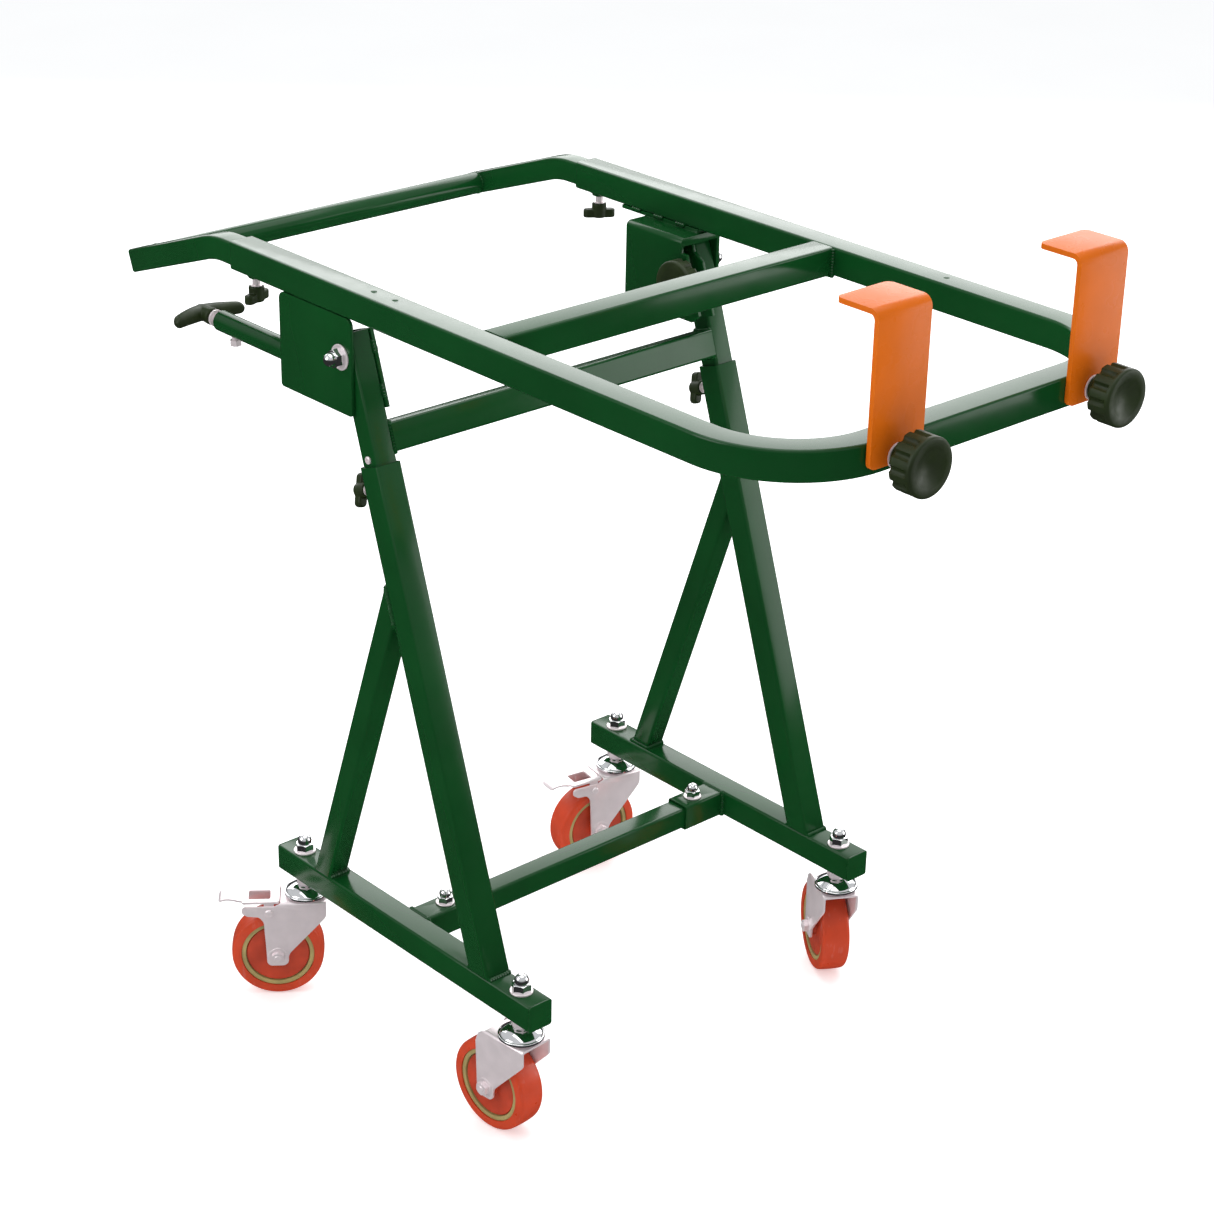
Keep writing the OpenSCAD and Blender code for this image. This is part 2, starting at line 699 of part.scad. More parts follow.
// Plate on the front bar, bent over at the top to hold the panel's edge
module hook(y, low) color(orange) place() difference() {
    top = low + hook_h;
    outer = table_front_x + hook_gap + hook_t;
    translate([0, y, 0]) upright(-hook_w / 2, hook_w) {
        translate([outer - hook_t, low]) square([hook_t, hook_h - hook_bend_r]);
        translate([outer - hook_reach, top - hook_t]) square([hook_reach - hook_bend_r, hook_t]);
        translate([outer - hook_bend_r, top - hook_bend_r]) intersection() {
            difference() {
                circle(hook_bend_r);
                circle(hook_bend_r - hook_t);
            }
            square(hook_bend_r);
        }
    }
    translate([table_front_x - 5, y, rail_z]) along_x() cylinder(r = pivot_r + fit, h = 20);
}

module right_hook() hook(right_hook_y, right_hook_z);
module left_hook() hook(left_hook_y, left_hook_z);

module hook_knob(y) color(black) place() translate([table_front_x - tube - 3, y, rail_z])
    along_x() fluted_knob(tube + 3 + 2 * hook_gap + hook_t, 13, 24);

module right_hook_knob() hook_knob(right_hook_y);
module left_hook_knob() hook_knob(left_hook_y);

module tilt_clamp_knob() color(black) place()
    translate([clamp_x, beam_y - upper_half - plate_t - 0.5, clamp_z]) along_y(-1)
        fluted_knob(beam_y - upper_half - plate_t - 0.5 - far_inner_y + 0.4, 1, 16);

right_base_beam();
left_base_beam();
right_leg_tube();
left_leg_tube();
right_brace_tube();
left_brace_tube();
lower_cross_tube();
cross_tube_sleeves();
cross_tube_bolts();
base_end_plugs();
caster_stems();
caster_caps();
caster_nuts();
caster_bearings();
right_upper_leg();
left_upper_leg();
upper_cross_bar();
leg_side_plates();
height_stop_screws();
right_leg_knob();
left_leg_knob();
table_frame();
table_cross_bar();
right_pivot_bracket();
left_pivot_bracket();
pivot_bolts();
lock_tube();
lock_guide_bolt();
lock_spring();
lock_rod();
t_handle();
right_handle_arm();
left_handle_arm();
handle_bar();
handle_end_plugs();
right_rail_knob();
left_rail_knob();
right_hook();
left_hook();
right_hook_knob();
left_hook_knob();
tilt_clamp_knob();
right_rear_fork();
right_front_fork();
left_front_fork();
left_rear_fork();
right_rear_axle();
right_front_axle();
left_front_axle();
left_rear_axle();
right_rear_core();
right_front_core();
left_front_core();
left_rear_core();
right_rear_tyre();
right_front_tyre();
left_front_tyre();
left_rear_tyre();
right_rear_pedal();
left_rear_pedal();
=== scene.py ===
"""Tilting panel cart: the visible pieces, their finishes and the stage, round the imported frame."""

import json
import math

import bmesh
import bpy
from bpy.props import FloatProperty, FloatVectorProperty, IntProperty, PointerProperty
from mathutils import Matrix, Vector

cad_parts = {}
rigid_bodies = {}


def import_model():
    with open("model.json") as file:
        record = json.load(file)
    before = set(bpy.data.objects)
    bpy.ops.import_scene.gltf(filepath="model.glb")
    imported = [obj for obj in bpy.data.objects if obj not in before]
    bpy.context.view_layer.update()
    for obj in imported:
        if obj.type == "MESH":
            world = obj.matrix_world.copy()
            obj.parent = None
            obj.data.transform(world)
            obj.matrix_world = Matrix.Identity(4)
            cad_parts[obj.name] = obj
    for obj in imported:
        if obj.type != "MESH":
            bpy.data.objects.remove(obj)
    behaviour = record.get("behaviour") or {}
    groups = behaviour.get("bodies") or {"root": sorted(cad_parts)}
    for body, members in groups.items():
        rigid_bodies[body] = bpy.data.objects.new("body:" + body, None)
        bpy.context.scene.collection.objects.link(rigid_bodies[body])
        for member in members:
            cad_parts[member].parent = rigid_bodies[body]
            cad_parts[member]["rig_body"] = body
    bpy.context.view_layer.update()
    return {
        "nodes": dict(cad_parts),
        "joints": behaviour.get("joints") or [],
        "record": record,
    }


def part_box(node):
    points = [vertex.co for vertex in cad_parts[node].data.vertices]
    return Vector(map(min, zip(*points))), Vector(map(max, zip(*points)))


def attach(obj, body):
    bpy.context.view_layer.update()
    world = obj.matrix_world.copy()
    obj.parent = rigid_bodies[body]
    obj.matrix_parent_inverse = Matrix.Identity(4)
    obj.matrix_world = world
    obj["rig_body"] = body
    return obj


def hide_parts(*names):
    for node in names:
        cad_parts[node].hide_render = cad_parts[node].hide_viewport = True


bl_info = {
    "name": "Tilting panel cart",
    "version": (1, 0, 0),
    "blender": (4, 5, 0),
    "location": "View3D > Sidebar > Panel Cart",
    "description": "Builds the finished pieces of a tilting panel cart round its packed frame",
    "category": "Object",
}

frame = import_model()
MM = 0.001
SLOTS = {part["node"]: part["material_slot"] for part in frame["record"]["subparts"]}
JOINTS = {joint["name"]: joint for joint in frame["joints"]}
SIDES = ("right", "left")
CASTERS = ("right_rear", "right_front", "left_front", "left_rear")
BRAKED = ("right_rear", "left_rear")


# ---- sizes and colours ----


def length(name, description, default, **limits):
    return FloatProperty(name=name, description=description, default=default, unit="LENGTH", **limits)


def angle(name, description, degrees):
    return FloatProperty(
        name=name, description=description, default=math.radians(degrees), subtype="ANGLE"
    )


def colour(name, description, default):
    return FloatVectorProperty(
        name=name, description=description, default=default, subtype="COLOR", size=3, min=0, max=1
    )


class CartTubes(bpy.types.PropertyGroup):
    wall: length("Wall", "Wall thickness of the square tubes", 2 * MM, min=1 * MM)
    corner: length("Corner", "Radius of the tubes' arrises", 3 * MM, min=1 * MM)
    steps: IntProperty(name="Corner steps", description="Points round each arris", default=6, min=2)
    edge: length("Cut edge", "Rounding of the cut ends", 0.35 * MM)
    table_bend: length("Table bend", "Centre radius of the table's front bends", 100 * MM)
    brace_lean: angle("Brace lean", "Lean of the braces from upright", 19)
    handle_drop: angle("Handle drop", "Downward angle of the push handle's arms", 19.5)
    handle_bend: length("Handle bend", "Run along the rail of the handle's bend", 33 * MM)


class CartWelds(bpy.types.PropertyGroup):
    radius: length("Bead radius", "Radius of a weld bead", 2.3 * MM)
    heavy: length("Base bead", "Radius of the base's weld beads", 2.7 * MM)
    fine: length("Handle bead", "Radius of the beads round the handle bar", 1.3 * MM)
    pitch: length("Ripple pitch", "Distance between the ripples of a bead", 3.1 * MM)
    depth: length("Ripple depth", "Height of the ripples", 0.38 * MM)
    uneven: length("Unevenness", "How far a bead wanders in width", 0.9 * MM)
    seed: IntProperty(name="Seed", description="Seed of the unevenness", default=3)


class CartPlates(bpy.types.PropertyGroup):
    edge: length("Plate edge", "Rounding of the plates' edges", 0.6 * MM)
    low_corner: length("Low corner", "Radius of the right bracket's lower corners", 4 * MM)
    top_corner: length("Top corner", "Radius of the right bracket's upper corners", 8 * MM)
    hook_corner: length("Hook corner", "Radius of the hooks' outer corners", 7 * MM)
    hook_bend: length("Hook bend", "Outer radius of the hooks' top bend", 10 * MM)
    hook_thickness: length("Hook thickness", "Thickness of the hook plates", 5 * MM)
    rivet: length("Rivet radius", "Radius of the rivet heads", 3.4 * MM)


class CartKnobs(bpy.types.PropertyGroup):
    flutes: IntProperty(name="Flutes", description="Flutes round a large knob", default=12, min=6)
    large: length("Large knob", "Radius of the large knobs", 27.5 * MM)
    hub: length("Wing knob hub", "Radius of a wing knob's hub", 8 * MM)
    span: length("Wing knob span", "Distance from a wing knob's axis to the tips", 17.5 * MM)
    wing: length("Wing width", "Width of a wing", 10 * MM)


class CartCasters(bpy.types.PropertyGroup):
    sheet: length("Fork sheet", "Thickness of the pressed forks", 2.5 * MM)
    fold: length("Fork fold", "Outer radius of a fork's folds", 3.2 * MM)
    shoulder: length("Tread shoulder", "Radius of the tread's shoulders", 4 * MM)
    crown: length("Tread crown", "How much the tread is crowned", 0.5 * MM)
    rim: length("Rim", "Radial width of the wheel's rim ring", 4.8 * MM)


class CartColours(bpy.types.PropertyGroup):
    green: colour("Green", "Colour of the green powder coat", (0.0035, 0.052, 0.0105))
    orange: colour("Orange", "Colour of the orange powder coat", (0.66, 0.135, 0.006))
    zinc: colour("Zinc", "Colour of the zinc plating", (0.93, 0.83, 0.85))
    chrome: colour("Chrome", "Colour of the chrome plating", (0.82, 0.82, 0.83))
    plastic: colour("Plastic", "Colour of the knobs", (0.016, 0.028, 0.006))
    tread: colour("Tread", "Colour of the tread", (0.56, 0.050, 0.012))
    centre: colour("Centre", "Colour of the wheel's disc", (0.47, 0.044, 0.014))
    rim: colour("Rim", "Colour of the wheel's rim", (0.36, 0.29, 0.11))
    floor: colour("Floor", "Colour of the floor", (0.86, 0.86, 0.86))


class CartStage(bpy.types.PropertyGroup):
    camera_at: FloatVectorProperty(
        name="Camera", description="Place of the camera", subtype="XYZ", unit="LENGTH",
        default=(1.91346, -1.73972, 1.69908),
    )
    azimuth: angle("Azimuth", "Direction from the aim to the camera", -42.316)
    elevation: angle("Elevation", "Height angle of the camera", 25.044)
    roll: angle("Roll", "Roll of the camera", 1.17)
    lens: FloatProperty(name="Lens", description="Focal length", default=82.09, unit="CAMERA")
    floor: length("Floor", "Half the width of the floor", 30.0)


GROUPS = {
    "cart_tubes": CartTubes,
    "cart_welds": CartWelds,
    "cart_plates": CartPlates,
    "cart_knobs": CartKnobs,
    "cart_casters": CartCasters,
    "cart_colours": CartColours,
    "cart_stage": CartStage,
}


# ---- places, taken from the frame ----


class Leg:
    """Axis of a leg: a point on the floor of the leg tubes, the way up and the way forward."""

    def __init__(self, side):
        low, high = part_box(f"{side}_leg_tube")
        self.up = Vector(JOINTS["height_slide"]["axis"]).normalized()
        self.front = Vector((self.up.z, 0, -self.up.x))
        self.side = high.y - low.y
        self.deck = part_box(f"{side}_base_beam")[1].z
        self.out = -1 if side == "right" else 1
        self.foot = Vector((high.x - self.side / 2 / self.up.z, (low.y + high.y) / 2, self.deck))
        self.top = (high.z - self.deck + self.side / 2 * self.up.x) / self.up.z

    def at(self, along, front=0.0, out=0.0):
        """Point at a distance along the leg, towards the front and outwards."""
        return self.foot + self.up * along + self.front * front + Vector((0, self.out * out, 0))


def caster_frame(name):
    """Frame of a caster: on the floor under its stem, x in the direction it trails."""
    stem = Vector(JOINTS[f"{name}_swivel"]["pos_m"])
    hub = Vector(JOINTS[f"{name}_wheel_turn"]["pos_m"])
    turn = math.atan2(hub.y - stem.y, hub.x - stem.x)
    return Matrix.Translation((stem.x, stem.y, 0)) @ Matrix.Rotation(turn, 4, "Z")


def axis_frame(origin, axis):
    """Frame with its z along axis."""
    turn = Vector(axis).to_track_quat("Z", "Y").to_matrix().to_4x4()
    return Matrix.Translation(origin) @ turn


# ---- shared mesh tools ----


def scratch(mesh):
    """Object that only lives while a mesh is worked on."""
    obj = bpy.data.objects.new("work", mesh)
    bpy.context.scene.collection.objects.link(obj)
    return obj


def applied(obj):
    """Mesh of an object with its modifiers applied; the object goes."""
    graph = bpy.context.evaluated_depsgraph_get()
    mesh = bpy.data.meshes.new_from_object(obj.evaluated_get(graph), depsgraph=graph)
    obj.modifiers.clear()
    bpy.data.objects.remove(obj)
    return mesh


def modified(mesh, *steps):
    """Mesh after a list of modifiers, each a type and its settings."""
    obj = scratch(mesh)
    for kind, settings in steps:
        modifier = obj.modifiers.new(kind.title(), kind)
        for key, value in settings.items():
            setattr(modifier, key, value)
    return applied(obj)


def grown(mesh, tree, **inputs):
    """Mesh after a Geometry Nodes tree, with its inputs set by name."""
    obj = scratch(mesh)
    modifier = obj.modifiers.new("Nodes", "NODES")
    modifier.node_group = tree
    for item in tree.interface.items_tree:
        key = item.name.lower().replace(" ", "_")
        if item.in_out == "INPUT" and key in inputs:
            modifier[item.identifier] = inputs[key]
    return applied(obj)


def edges_rounded(width, segments=2, limit=40):
    return ("BEVEL", {
        "width": width, "segments": segments, "limit_method": "ANGLE",
        "angle_limit": math.radians(limit), "use_clamp_overlap": True,
    })


def walled(thickness):
    return ("SOLIDIFY", {"thickness": thickness, "offset": -1, "use_even_offset": True})


def tidied(mesh, merge=1e-6):
    """Merges doubles and points every face outwards."""
    work = bmesh.new()
    work.from_mesh(mesh)
    bmesh.ops.remove_doubles(work, verts=work.verts, dist=merge)
    bmesh.ops.dissolve_degenerate(work, edges=work.edges, dist=merge)
    bmesh.ops.recalc_face_normals(work, faces=work.faces)
    work.to_mesh(mesh)
    work.free()
    return mesh


def joined(*meshes):
    """One mesh out of several, with their materials kept apart."""
    work = bmesh.new()
    materials = []
    for mesh in meshes:
        start = len(work.faces)
        work.from_mesh(mesh)
        work.faces.ensure_lookup_table()
        for face in work.faces[start:]:
            own = mesh.materials[face.material_index] if mesh.materials else None
            if own not in materials:
                materials.append(own)
            face.material_index = materials.index(own)
    result = bpy.data.meshes.new("joined")
    for material in materials:
        if material:
            result.materials.append(material)
    work.to_mesh(result)
    work.free()
    return result


def placed(mesh, matrix):
    mesh.transform(matrix)
    if matrix.determinant() < 0:
        mesh.flip_normals()
    return mesh


def loft(rings, caps=True, loop=False):
    """Surface through rings of points; caps closes its ends and loop joins last to first."""
    work = bmesh.new()
    rows = [[work.verts.new(p) for p in ring] for ring in rings]
    count = len(rows[0])
    pairs = list(zip(rows, rows[1:])) + ([(rows[-1], rows[0])] if loop else [])
    for low, high in pairs:
        for i in range(count):
            j = (i + 1) % count
            work.faces.new((low[i], low[j], high[j], high[i]))
    if caps and not loop:
        work.faces.new(rows[0])
        work.faces.new(rows[-1])
    mesh = bpy.data.meshes.new("loft")
    work.to_mesh(mesh)
    work.free()
    return tidied(mesh)


def lathe(profile, steps=72, loop=False):
    """Solid turned about z from (radius, height) points."""
    rings = [
        [(r * math.cos(a), r * math.sin(a), z) for a in turns(steps)]
        for r, z in profile
    ]
    return loft(rings, caps=False, loop=loop)


def turns(count):
    return [math.tau * i / count for i in range(count)]


def quarter(radius, z, up=1, steps=5):
    """(inset, height) levels of a rounded edge that ends (up 1) or starts (up -1) a solid."""
    levels = []
    for i in range(steps + 1):
        a = math.pi / 2 * i / steps
        levels.append((radius * (1 - math.cos(a)), z - up * radius * (1 - math.sin(a))))
    return levels if up > 0 else levels[::-1]


def rounded(corners, steps=6):
    """Closed flat outline through (x, y, radius) corners."""
    points = []
    count = len(corners)
    for i, (x, y, radius) in enumerate(corners):
        here = Vector((x, y))
        back = Vector(corners[i - 1][:2]) - here
        ahead = Vector(corners[(i + 1) % count][:2]) - here
        half = back.angle(ahead) / 2
        reach = min(radius / math.tan(half), 0.49 * back.length, 0.49 * ahead.length)
        if reach < 1e-6:
            points.append(here)
            continue
        true_radius = reach * math.tan(half)
        middle = (back.normalized() + ahead.normalized()).normalized()
        centre = here + middle * (true_radius / math.sin(half))
        start = here + back.normalized() * reach - centre
        end = here + ahead.normalized() * reach - centre
        points += [centre + start.slerp(end, k / steps) * true_radius for k in range(steps + 1)]
    return points


def slab(outline, thickness, window=None, edge=0.35 * MM):
    """Plate in x and y from z = 0 up, with rounded edges and an optional window."""
    work = bmesh.new()
    outer = [work.verts.new((p[0], p[1], 0)) for p in outline]
    if window:
        inner = [work.verts.new((p[0], p[1], 0)) for p in window]
        count = len(outer)
        for i in range(count):
            j = (i + 1) % count
            work.faces.new((outer[i], outer[j], inner[j], inner[i]))
    else:
        work.faces.new(outer)
    mesh = bpy.data.meshes.new("slab")
    work.to_mesh(mesh)
    work.free()
    for polygon in mesh.polygons:
        if polygon.normal.z < 0:
            polygon.flip()
    solid = modified(mesh, ("SOLIDIFY", {"thickness": thickness, "offset": 1}))
    return modified(solid, edges_rounded(edge))


def refined(node, width, segments=2, limit=35):
    """Copy of a CAD node with its flat faces merged and its edges rounded."""
    mesh = frame["nodes"][node].data.copy()
    mesh.materials.clear()
    work = bmesh.new()
    work.from_mesh(mesh)
    bmesh.ops.remove_doubles(work, verts=work.verts, dist=2e-6)
    bmesh.ops.dissolve_limit(
        work, angle_limit=math.radians(0.4), verts=work.verts, edges=work.edges,
        use_dissolve_boundaries=False,
    )
    work.to_mesh(mesh)
    work.free()
    if mesh.has_custom_normals:
        mesh.attributes.remove(mesh.attributes["custom_normal"])
    return modified(mesh, edges_rounded(width, segments, limit))


def finish(mesh, sharp=38):
    """Smooth shading with sharp edges kept."""
    mesh.shade_smooth()
    mesh.set_sharp_from_angle(angle=math.radians(sharp))
    return mesh


def piece(name, mesh, material, body, slot, *nodes):
    """A finished piece that rides on a body and stands for CAD nodes."""
    if material:
        mesh.materials.clear()
        mesh.materials.append(material)
    obj = bpy.data.objects.new(name, finish(mesh))
    mesh.name = name
    bpy.context.scene.collection.objects.link(obj)
    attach(obj, body)
    if nodes:
        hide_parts(*nodes)
    return obj


def stand_in(mesh, material, node, *more):
    """Piece for a CAD node, on the node's own body."""
    body = frame["nodes"][node]["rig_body"]
    return piece(f"finished_{node}", mesh, material, body, SLOTS[node], node, *more)


# ---- node trees ----


def tree_with(name, sockets):
    """Geometry Nodes tree with named inputs, and its input and output nodes."""
    tree = bpy.data.node_groups.new(name, "GeometryNodeTree")
    tree.interface.new_socket("Geometry", in_out="INPUT", socket_type="NodeSocketGeometry")
    for label, kind, value in sockets:
        socket = tree.interface.new_socket(label, in_out="INPUT", socket_type=f"NodeSocket{kind}")
        if value is not None:
            socket.default_value = value
    tree.interface.new_socket("Geometry", in_out="OUTPUT", socket_type="NodeSocketGeometry")
    return tree, tree.nodes.new("NodeGroupInput"), tree.nodes.new("NodeGroupOutput")


def node(tree, kind, settings=None, **links):
    """Adds a node, sets it up and links or sets its inputs by name."""
    made = tree.nodes.new(kind)
    for key, value in (settings or {}).items():
        setattr(made, key, value)
    for key, value in links.items():
        socket = socket_of(made, key)
        if isinstance(value, bpy.types.NodeSocket):
            tree.links.new(value, socket)
        else:
            socket.default_value = value
    return made


def socket_of(made, key):
    """Input by position (in_0) or by name, where the name's spaces are underscores."""
    if key.startswith("in_"):
        return made.inputs[int(key[3:])]
    for socket in made.inputs:
        if socket.enabled and socket.name.lower().replace(" ", "_") == key:
            return socket
    raise KeyError(f"{made.bl_idname} has no input {key}")


def ended(tree, geometry, material, output):
    """Ends a tree with Realize Instances and Set Material."""
    real = node(tree, "GeometryNodeRealizeInstances", in_0=geometry)
    last = node(tree, "GeometryNodeSetMaterial", in_0=real.outputs[0], material=material)
    tree.links.new(last.outputs[0], output.inputs[0])
    return tree


def tube_tree():
    """Rounded square skin swept along the path that the mesh's edges draw."""
    tree, ins, out = tree_with("Tube along a path", (
        ("Side", "Float", 0.03), ("Corner", "Float", 0.003), ("Steps", "Int", 6),
        ("Material", "Material", None),
    ))
    path = node(tree, "GeometryNodeMeshToCurve", in_0=ins.outputs["Geometry"])
    upright = node(tree, "GeometryNodeSetCurveNormal", {"mode": "Z_UP"}, in_0=path.outputs[0])
    square = node(tree, "GeometryNodeCurvePrimitiveQuadrilateral",
                  width=ins.outputs["Side"], height=ins.outputs["Side"])
    fillet = node(tree, "GeometryNodeFilletCurve", {"mode": "POLY"}, in_0=square.outputs[0],
                  count=ins.outputs["Steps"], radius=ins.outputs["Corner"])
    sweep = node(tree, "GeometryNodeCurveToMesh", curve=upright.outputs[0],
                 profile_curve=fillet.outputs[0])
    return ended(tree, sweep.outputs[0], ins.outputs["Material"], out)


def weld_tree():
    """Rippled weld bead along the paths that the mesh's edges draw."""
    tree, ins, out = tree_with("Weld bead", (
        ("Radius", "Float", 0.002), ("Pitch", "Float", 0.003), ("Depth", "Float", 0.0004),
        ("Uneven", "Float", 0.0008), ("Seed", "Int", 0), ("Material", "Material", None),
    ))

    def maths(operation, a, b=0.0, c=0.0):
        return node(tree, "ShaderNodeMath", {"operation": operation}, in_0=a, in_1=b, in_2=c).outputs[0]

    path = node(tree, "GeometryNodeMeshToCurve", in_0=ins.outputs["Geometry"])
    even = node(tree, "GeometryNodeResampleCurve", {"mode": "LENGTH"}, curve=path.outputs[0],
                length=maths("DIVIDE", ins.outputs["Pitch"], 5.0))
    along = node(tree, "GeometryNodeSplineParameter")
    kept = node(tree, "GeometryNodeCaptureAttribute", geometry=even.outputs[0])
    kept.capture_items.new("FLOAT", "Along")
    tree.links.new(along.outputs["Length"], kept.inputs["Along"])
    round_profile = node(tree, "GeometryNodeCurvePrimitiveCircle", resolution=12,
                         radius=ins.outputs["Radius"])
    sweep = node(tree, "GeometryNodeCurveToMesh", curve=kept.outputs[0],
                 profile_curve=round_profile.outputs[0], fill_caps=True)
    phase = maths("DIVIDE", kept.outputs["Along"], ins.outputs["Pitch"])
    saw = maths("FRACT", phase)
    ripple = maths("MULTIPLY", maths("SUBTRACT", saw, 0.5), ins.outputs["Depth"])
    ripple = maths("MULTIPLY", ripple, 2.0)
    place = node(tree, "GeometryNodeInputPosition")
    noise = node(tree, "ShaderNodeTexNoise", {"noise_dimensions": "4D"},
                 vector=place.outputs[0], scale=140.0, detail=2.0)
    tree.links.new(ins.outputs["Seed"], socket_of(noise, "w"))
    wander = maths("MULTIPLY", maths("SUBTRACT", noise.outputs[0], 0.5), ins.outputs["Uneven"])
    grow = maths("ADD", ripple, wander)
    normal = node(tree, "GeometryNodeInputNormal")
    shift = node(tree, "ShaderNodeVectorMath", {"operation": "SCALE"}, in_0=normal.outputs[0])
    tree.links.new(grow, shift.inputs["Scale"])
    moved = node(tree, "GeometryNodeSetPosition", geometry=sweep.outputs[0],
                 offset=shift.outputs[0])
    return ended(tree, moved.outputs[0], ins.outputs["Material"], out)


def copies_tree():
    """Copies of a part on points, each turned so that its z follows the point's axis."""
    tree, ins, out = tree_with("Copies on points", (
        ("Part", "Object", None), ("Material", "Material", None),
    ))
    part = node(tree, "GeometryNodeObjectInfo", object=ins.outputs["Part"])
    axis = node(tree, "GeometryNodeInputNamedAttribute", {"data_type": "FLOAT_VECTOR"}, name="axis")
    turn = node(tree, "FunctionNodeAlignRotationToVector", {"axis": "Z"},
                vector=axis.outputs["Attribute"])
    points = node(tree, "GeometryNodeMeshToPoints", in_0=ins.outputs["Geometry"])
    copies = node(tree, "GeometryNodeInstanceOnPoints", points=points.outputs[0],
                  instance=part.outputs["Geometry"], rotation=turn.outputs[0])
    return ended(tree, copies.outputs[0], ins.outputs["Material"], out)


def spring_tree():
    """Closed-end coil spring along z."""
    tree, ins, out = tree_with("Coil spring", (
        ("Turns", "Float", 8.0), ("Radius", "Float", 0.0072), ("Length", "Float", 0.05),
        ("Wire", "Float", 0.0008), ("Material", "Material", None),
    ))
    coil = node(tree, "GeometryNodeCurveSpiral", resolution=28, rotations=ins.outputs["Turns"],
                start_radius=ins.outputs["Radius"], end_radius=ins.outputs["Radius"],
                height=ins.outputs["Length"])
    wire = node(tree, "GeometryNodeCurvePrimitiveCircle", resolution=10, radius=ins.outputs["Wire"])
    sweep = node(tree, "GeometryNodeCurveToMesh", curve=coil.outputs[0],
                 profile_curve=wire.outputs[0], fill_caps=True)
    return ended(tree, sweep.outputs[0], ins.outputs["Material"], out)


def path_mesh(*paths):
    """Mesh of edges only: one open or closed line for each list of points."""
    work = bmesh.new()
    for points in paths:
        verts = [work.verts.new(p) for p in points]
        for a, b in zip(verts, verts[1:]):
            work.edges.new((a, b))
        if len(verts) > 2 and (Vector(points[0]) - Vector(points[-1])).length < 1e-7:
            bmesh.ops.pointmerge(work, verts=[verts[0], verts[-1]], merge_co=verts[0].co)
    mesh = bpy.data.meshes.new("path")
    work.to_mesh(mesh)
    work.free()
    return mesh


def point_mesh(places):
    """Mesh of loose points with an axis at each."""
    mesh = bpy.data.meshes.new("points")
    mesh.from_pydata([p for p, _ in places], [], [])
    layer = mesh.attributes.new("axis", "FLOAT_VECTOR", "POINT")
    for i, (_, axis) in enumerate(places):
        layer.data[i].vector = axis
    return mesh


TREES = {}
PAINTS = {}


def copies(part_mesh, places, material):
    """Copies of a mesh at (point, axis) places, as one mesh."""
    part = scratch(part_mesh)
    result = grown(point_mesh(places), TREES["copies"], part=part, material=material)
    bpy.data.objects.remove(part)
    return result


# ---- finishes ----


def surface(name, base, roughness, metallic=0.0, fixed=None):
    """Material with its shader, tree and object coordinates."""
    material = bpy.data.materials.new(name)
    material.use_nodes = True
    tree = material.node_tree
    shader = tree.nodes["Principled BSDF"]
    shader.inputs["Base Color"].default_value = (*base, 1)
    shader.inputs["Roughness"].default_value = roughness
    shader.inputs["Metallic"].default_value = metallic
    for key, value in (fixed or {}).items():
        shader.inputs[key].default_value = value
    material.diffuse_color = (*base, 1)
    return material, tree, shader, tree.nodes.new("ShaderNodeTexCoord").outputs["Object"]


def noise(tree, coords, scale, detail=3.0, stretch=None):
    if stretch:
        coords = node(tree, "ShaderNodeMapping", vector=coords, scale=stretch).outputs[0]
    return node(tree, "ShaderNodeTexNoise", vector=coords, scale=scale, detail=detail).outputs[0]


def ranged(tree, value, low, high, to_low, to_high):
    return node(tree, "ShaderNodeMapRange", value=value, from_min=low, from_max=high,
                to_min=to_low, to_max=to_high).outputs[0]


def mixed(tree, factor, a, b):
    made = node(tree, "ShaderNodeMix", {"data_type": "RGBA"})
    for key, value in (("Factor", factor), ("A", a), ("B", b)):
        socket = [s for s in made.inputs if s.name == key and s.enabled][0]
        if isinstance(value, bpy.types.NodeSocket):
            tree.links.new(value, socket)
        else:
            socket.default_value = (*value, 1) if isinstance(value, tuple) else value
    return [s for s in made.outputs if s.enabled][0]


def bumped(tree, shader, height, strength, distance, normal=None):
    made = node(tree, "ShaderNodeBump", height=height, strength=strength, distance=distance)
    if normal:
        tree.links.new(normal, made.inputs["Normal"])
    tree.links.new(made.outputs[0], shader.inputs["Normal"])
    return made.outputs[0]


def edge_wear_and_highlight(tree, coords, radius, scale=260.0):
    """Mask of the convex edges, broken up by noise: partly where a coat wears, partly a painted
    highlight where the arrises catch the light.
    """
    soft = node(tree, "ShaderNodeBevel", {"samples": 4}, radius=radius)
    flat = node(tree, "ShaderNodeNewGeometry")
    alike = node(tree, "ShaderNodeVectorMath", {"operation": "DOT_PRODUCT"},
                 in_0=soft.outputs[0], in_1=flat.outputs["Normal"]).outputs["Value"]
    edge = ranged(tree, alike, 0.995, 0.90, 0.0, 1.0)
    patchy = ranged(tree, noise(tree, coords, scale, 4.0), 0.50, 0.66, 0.0, 1.0)
    return node(tree, "ShaderNodeMath", {"operation": "MULTIPLY"}, in_0=edge, in_1=patchy).outputs[0]


def lighter(rgb, factor, lift=0.0):
    return tuple(min(1.0, c * factor + lift) for c in rgb)


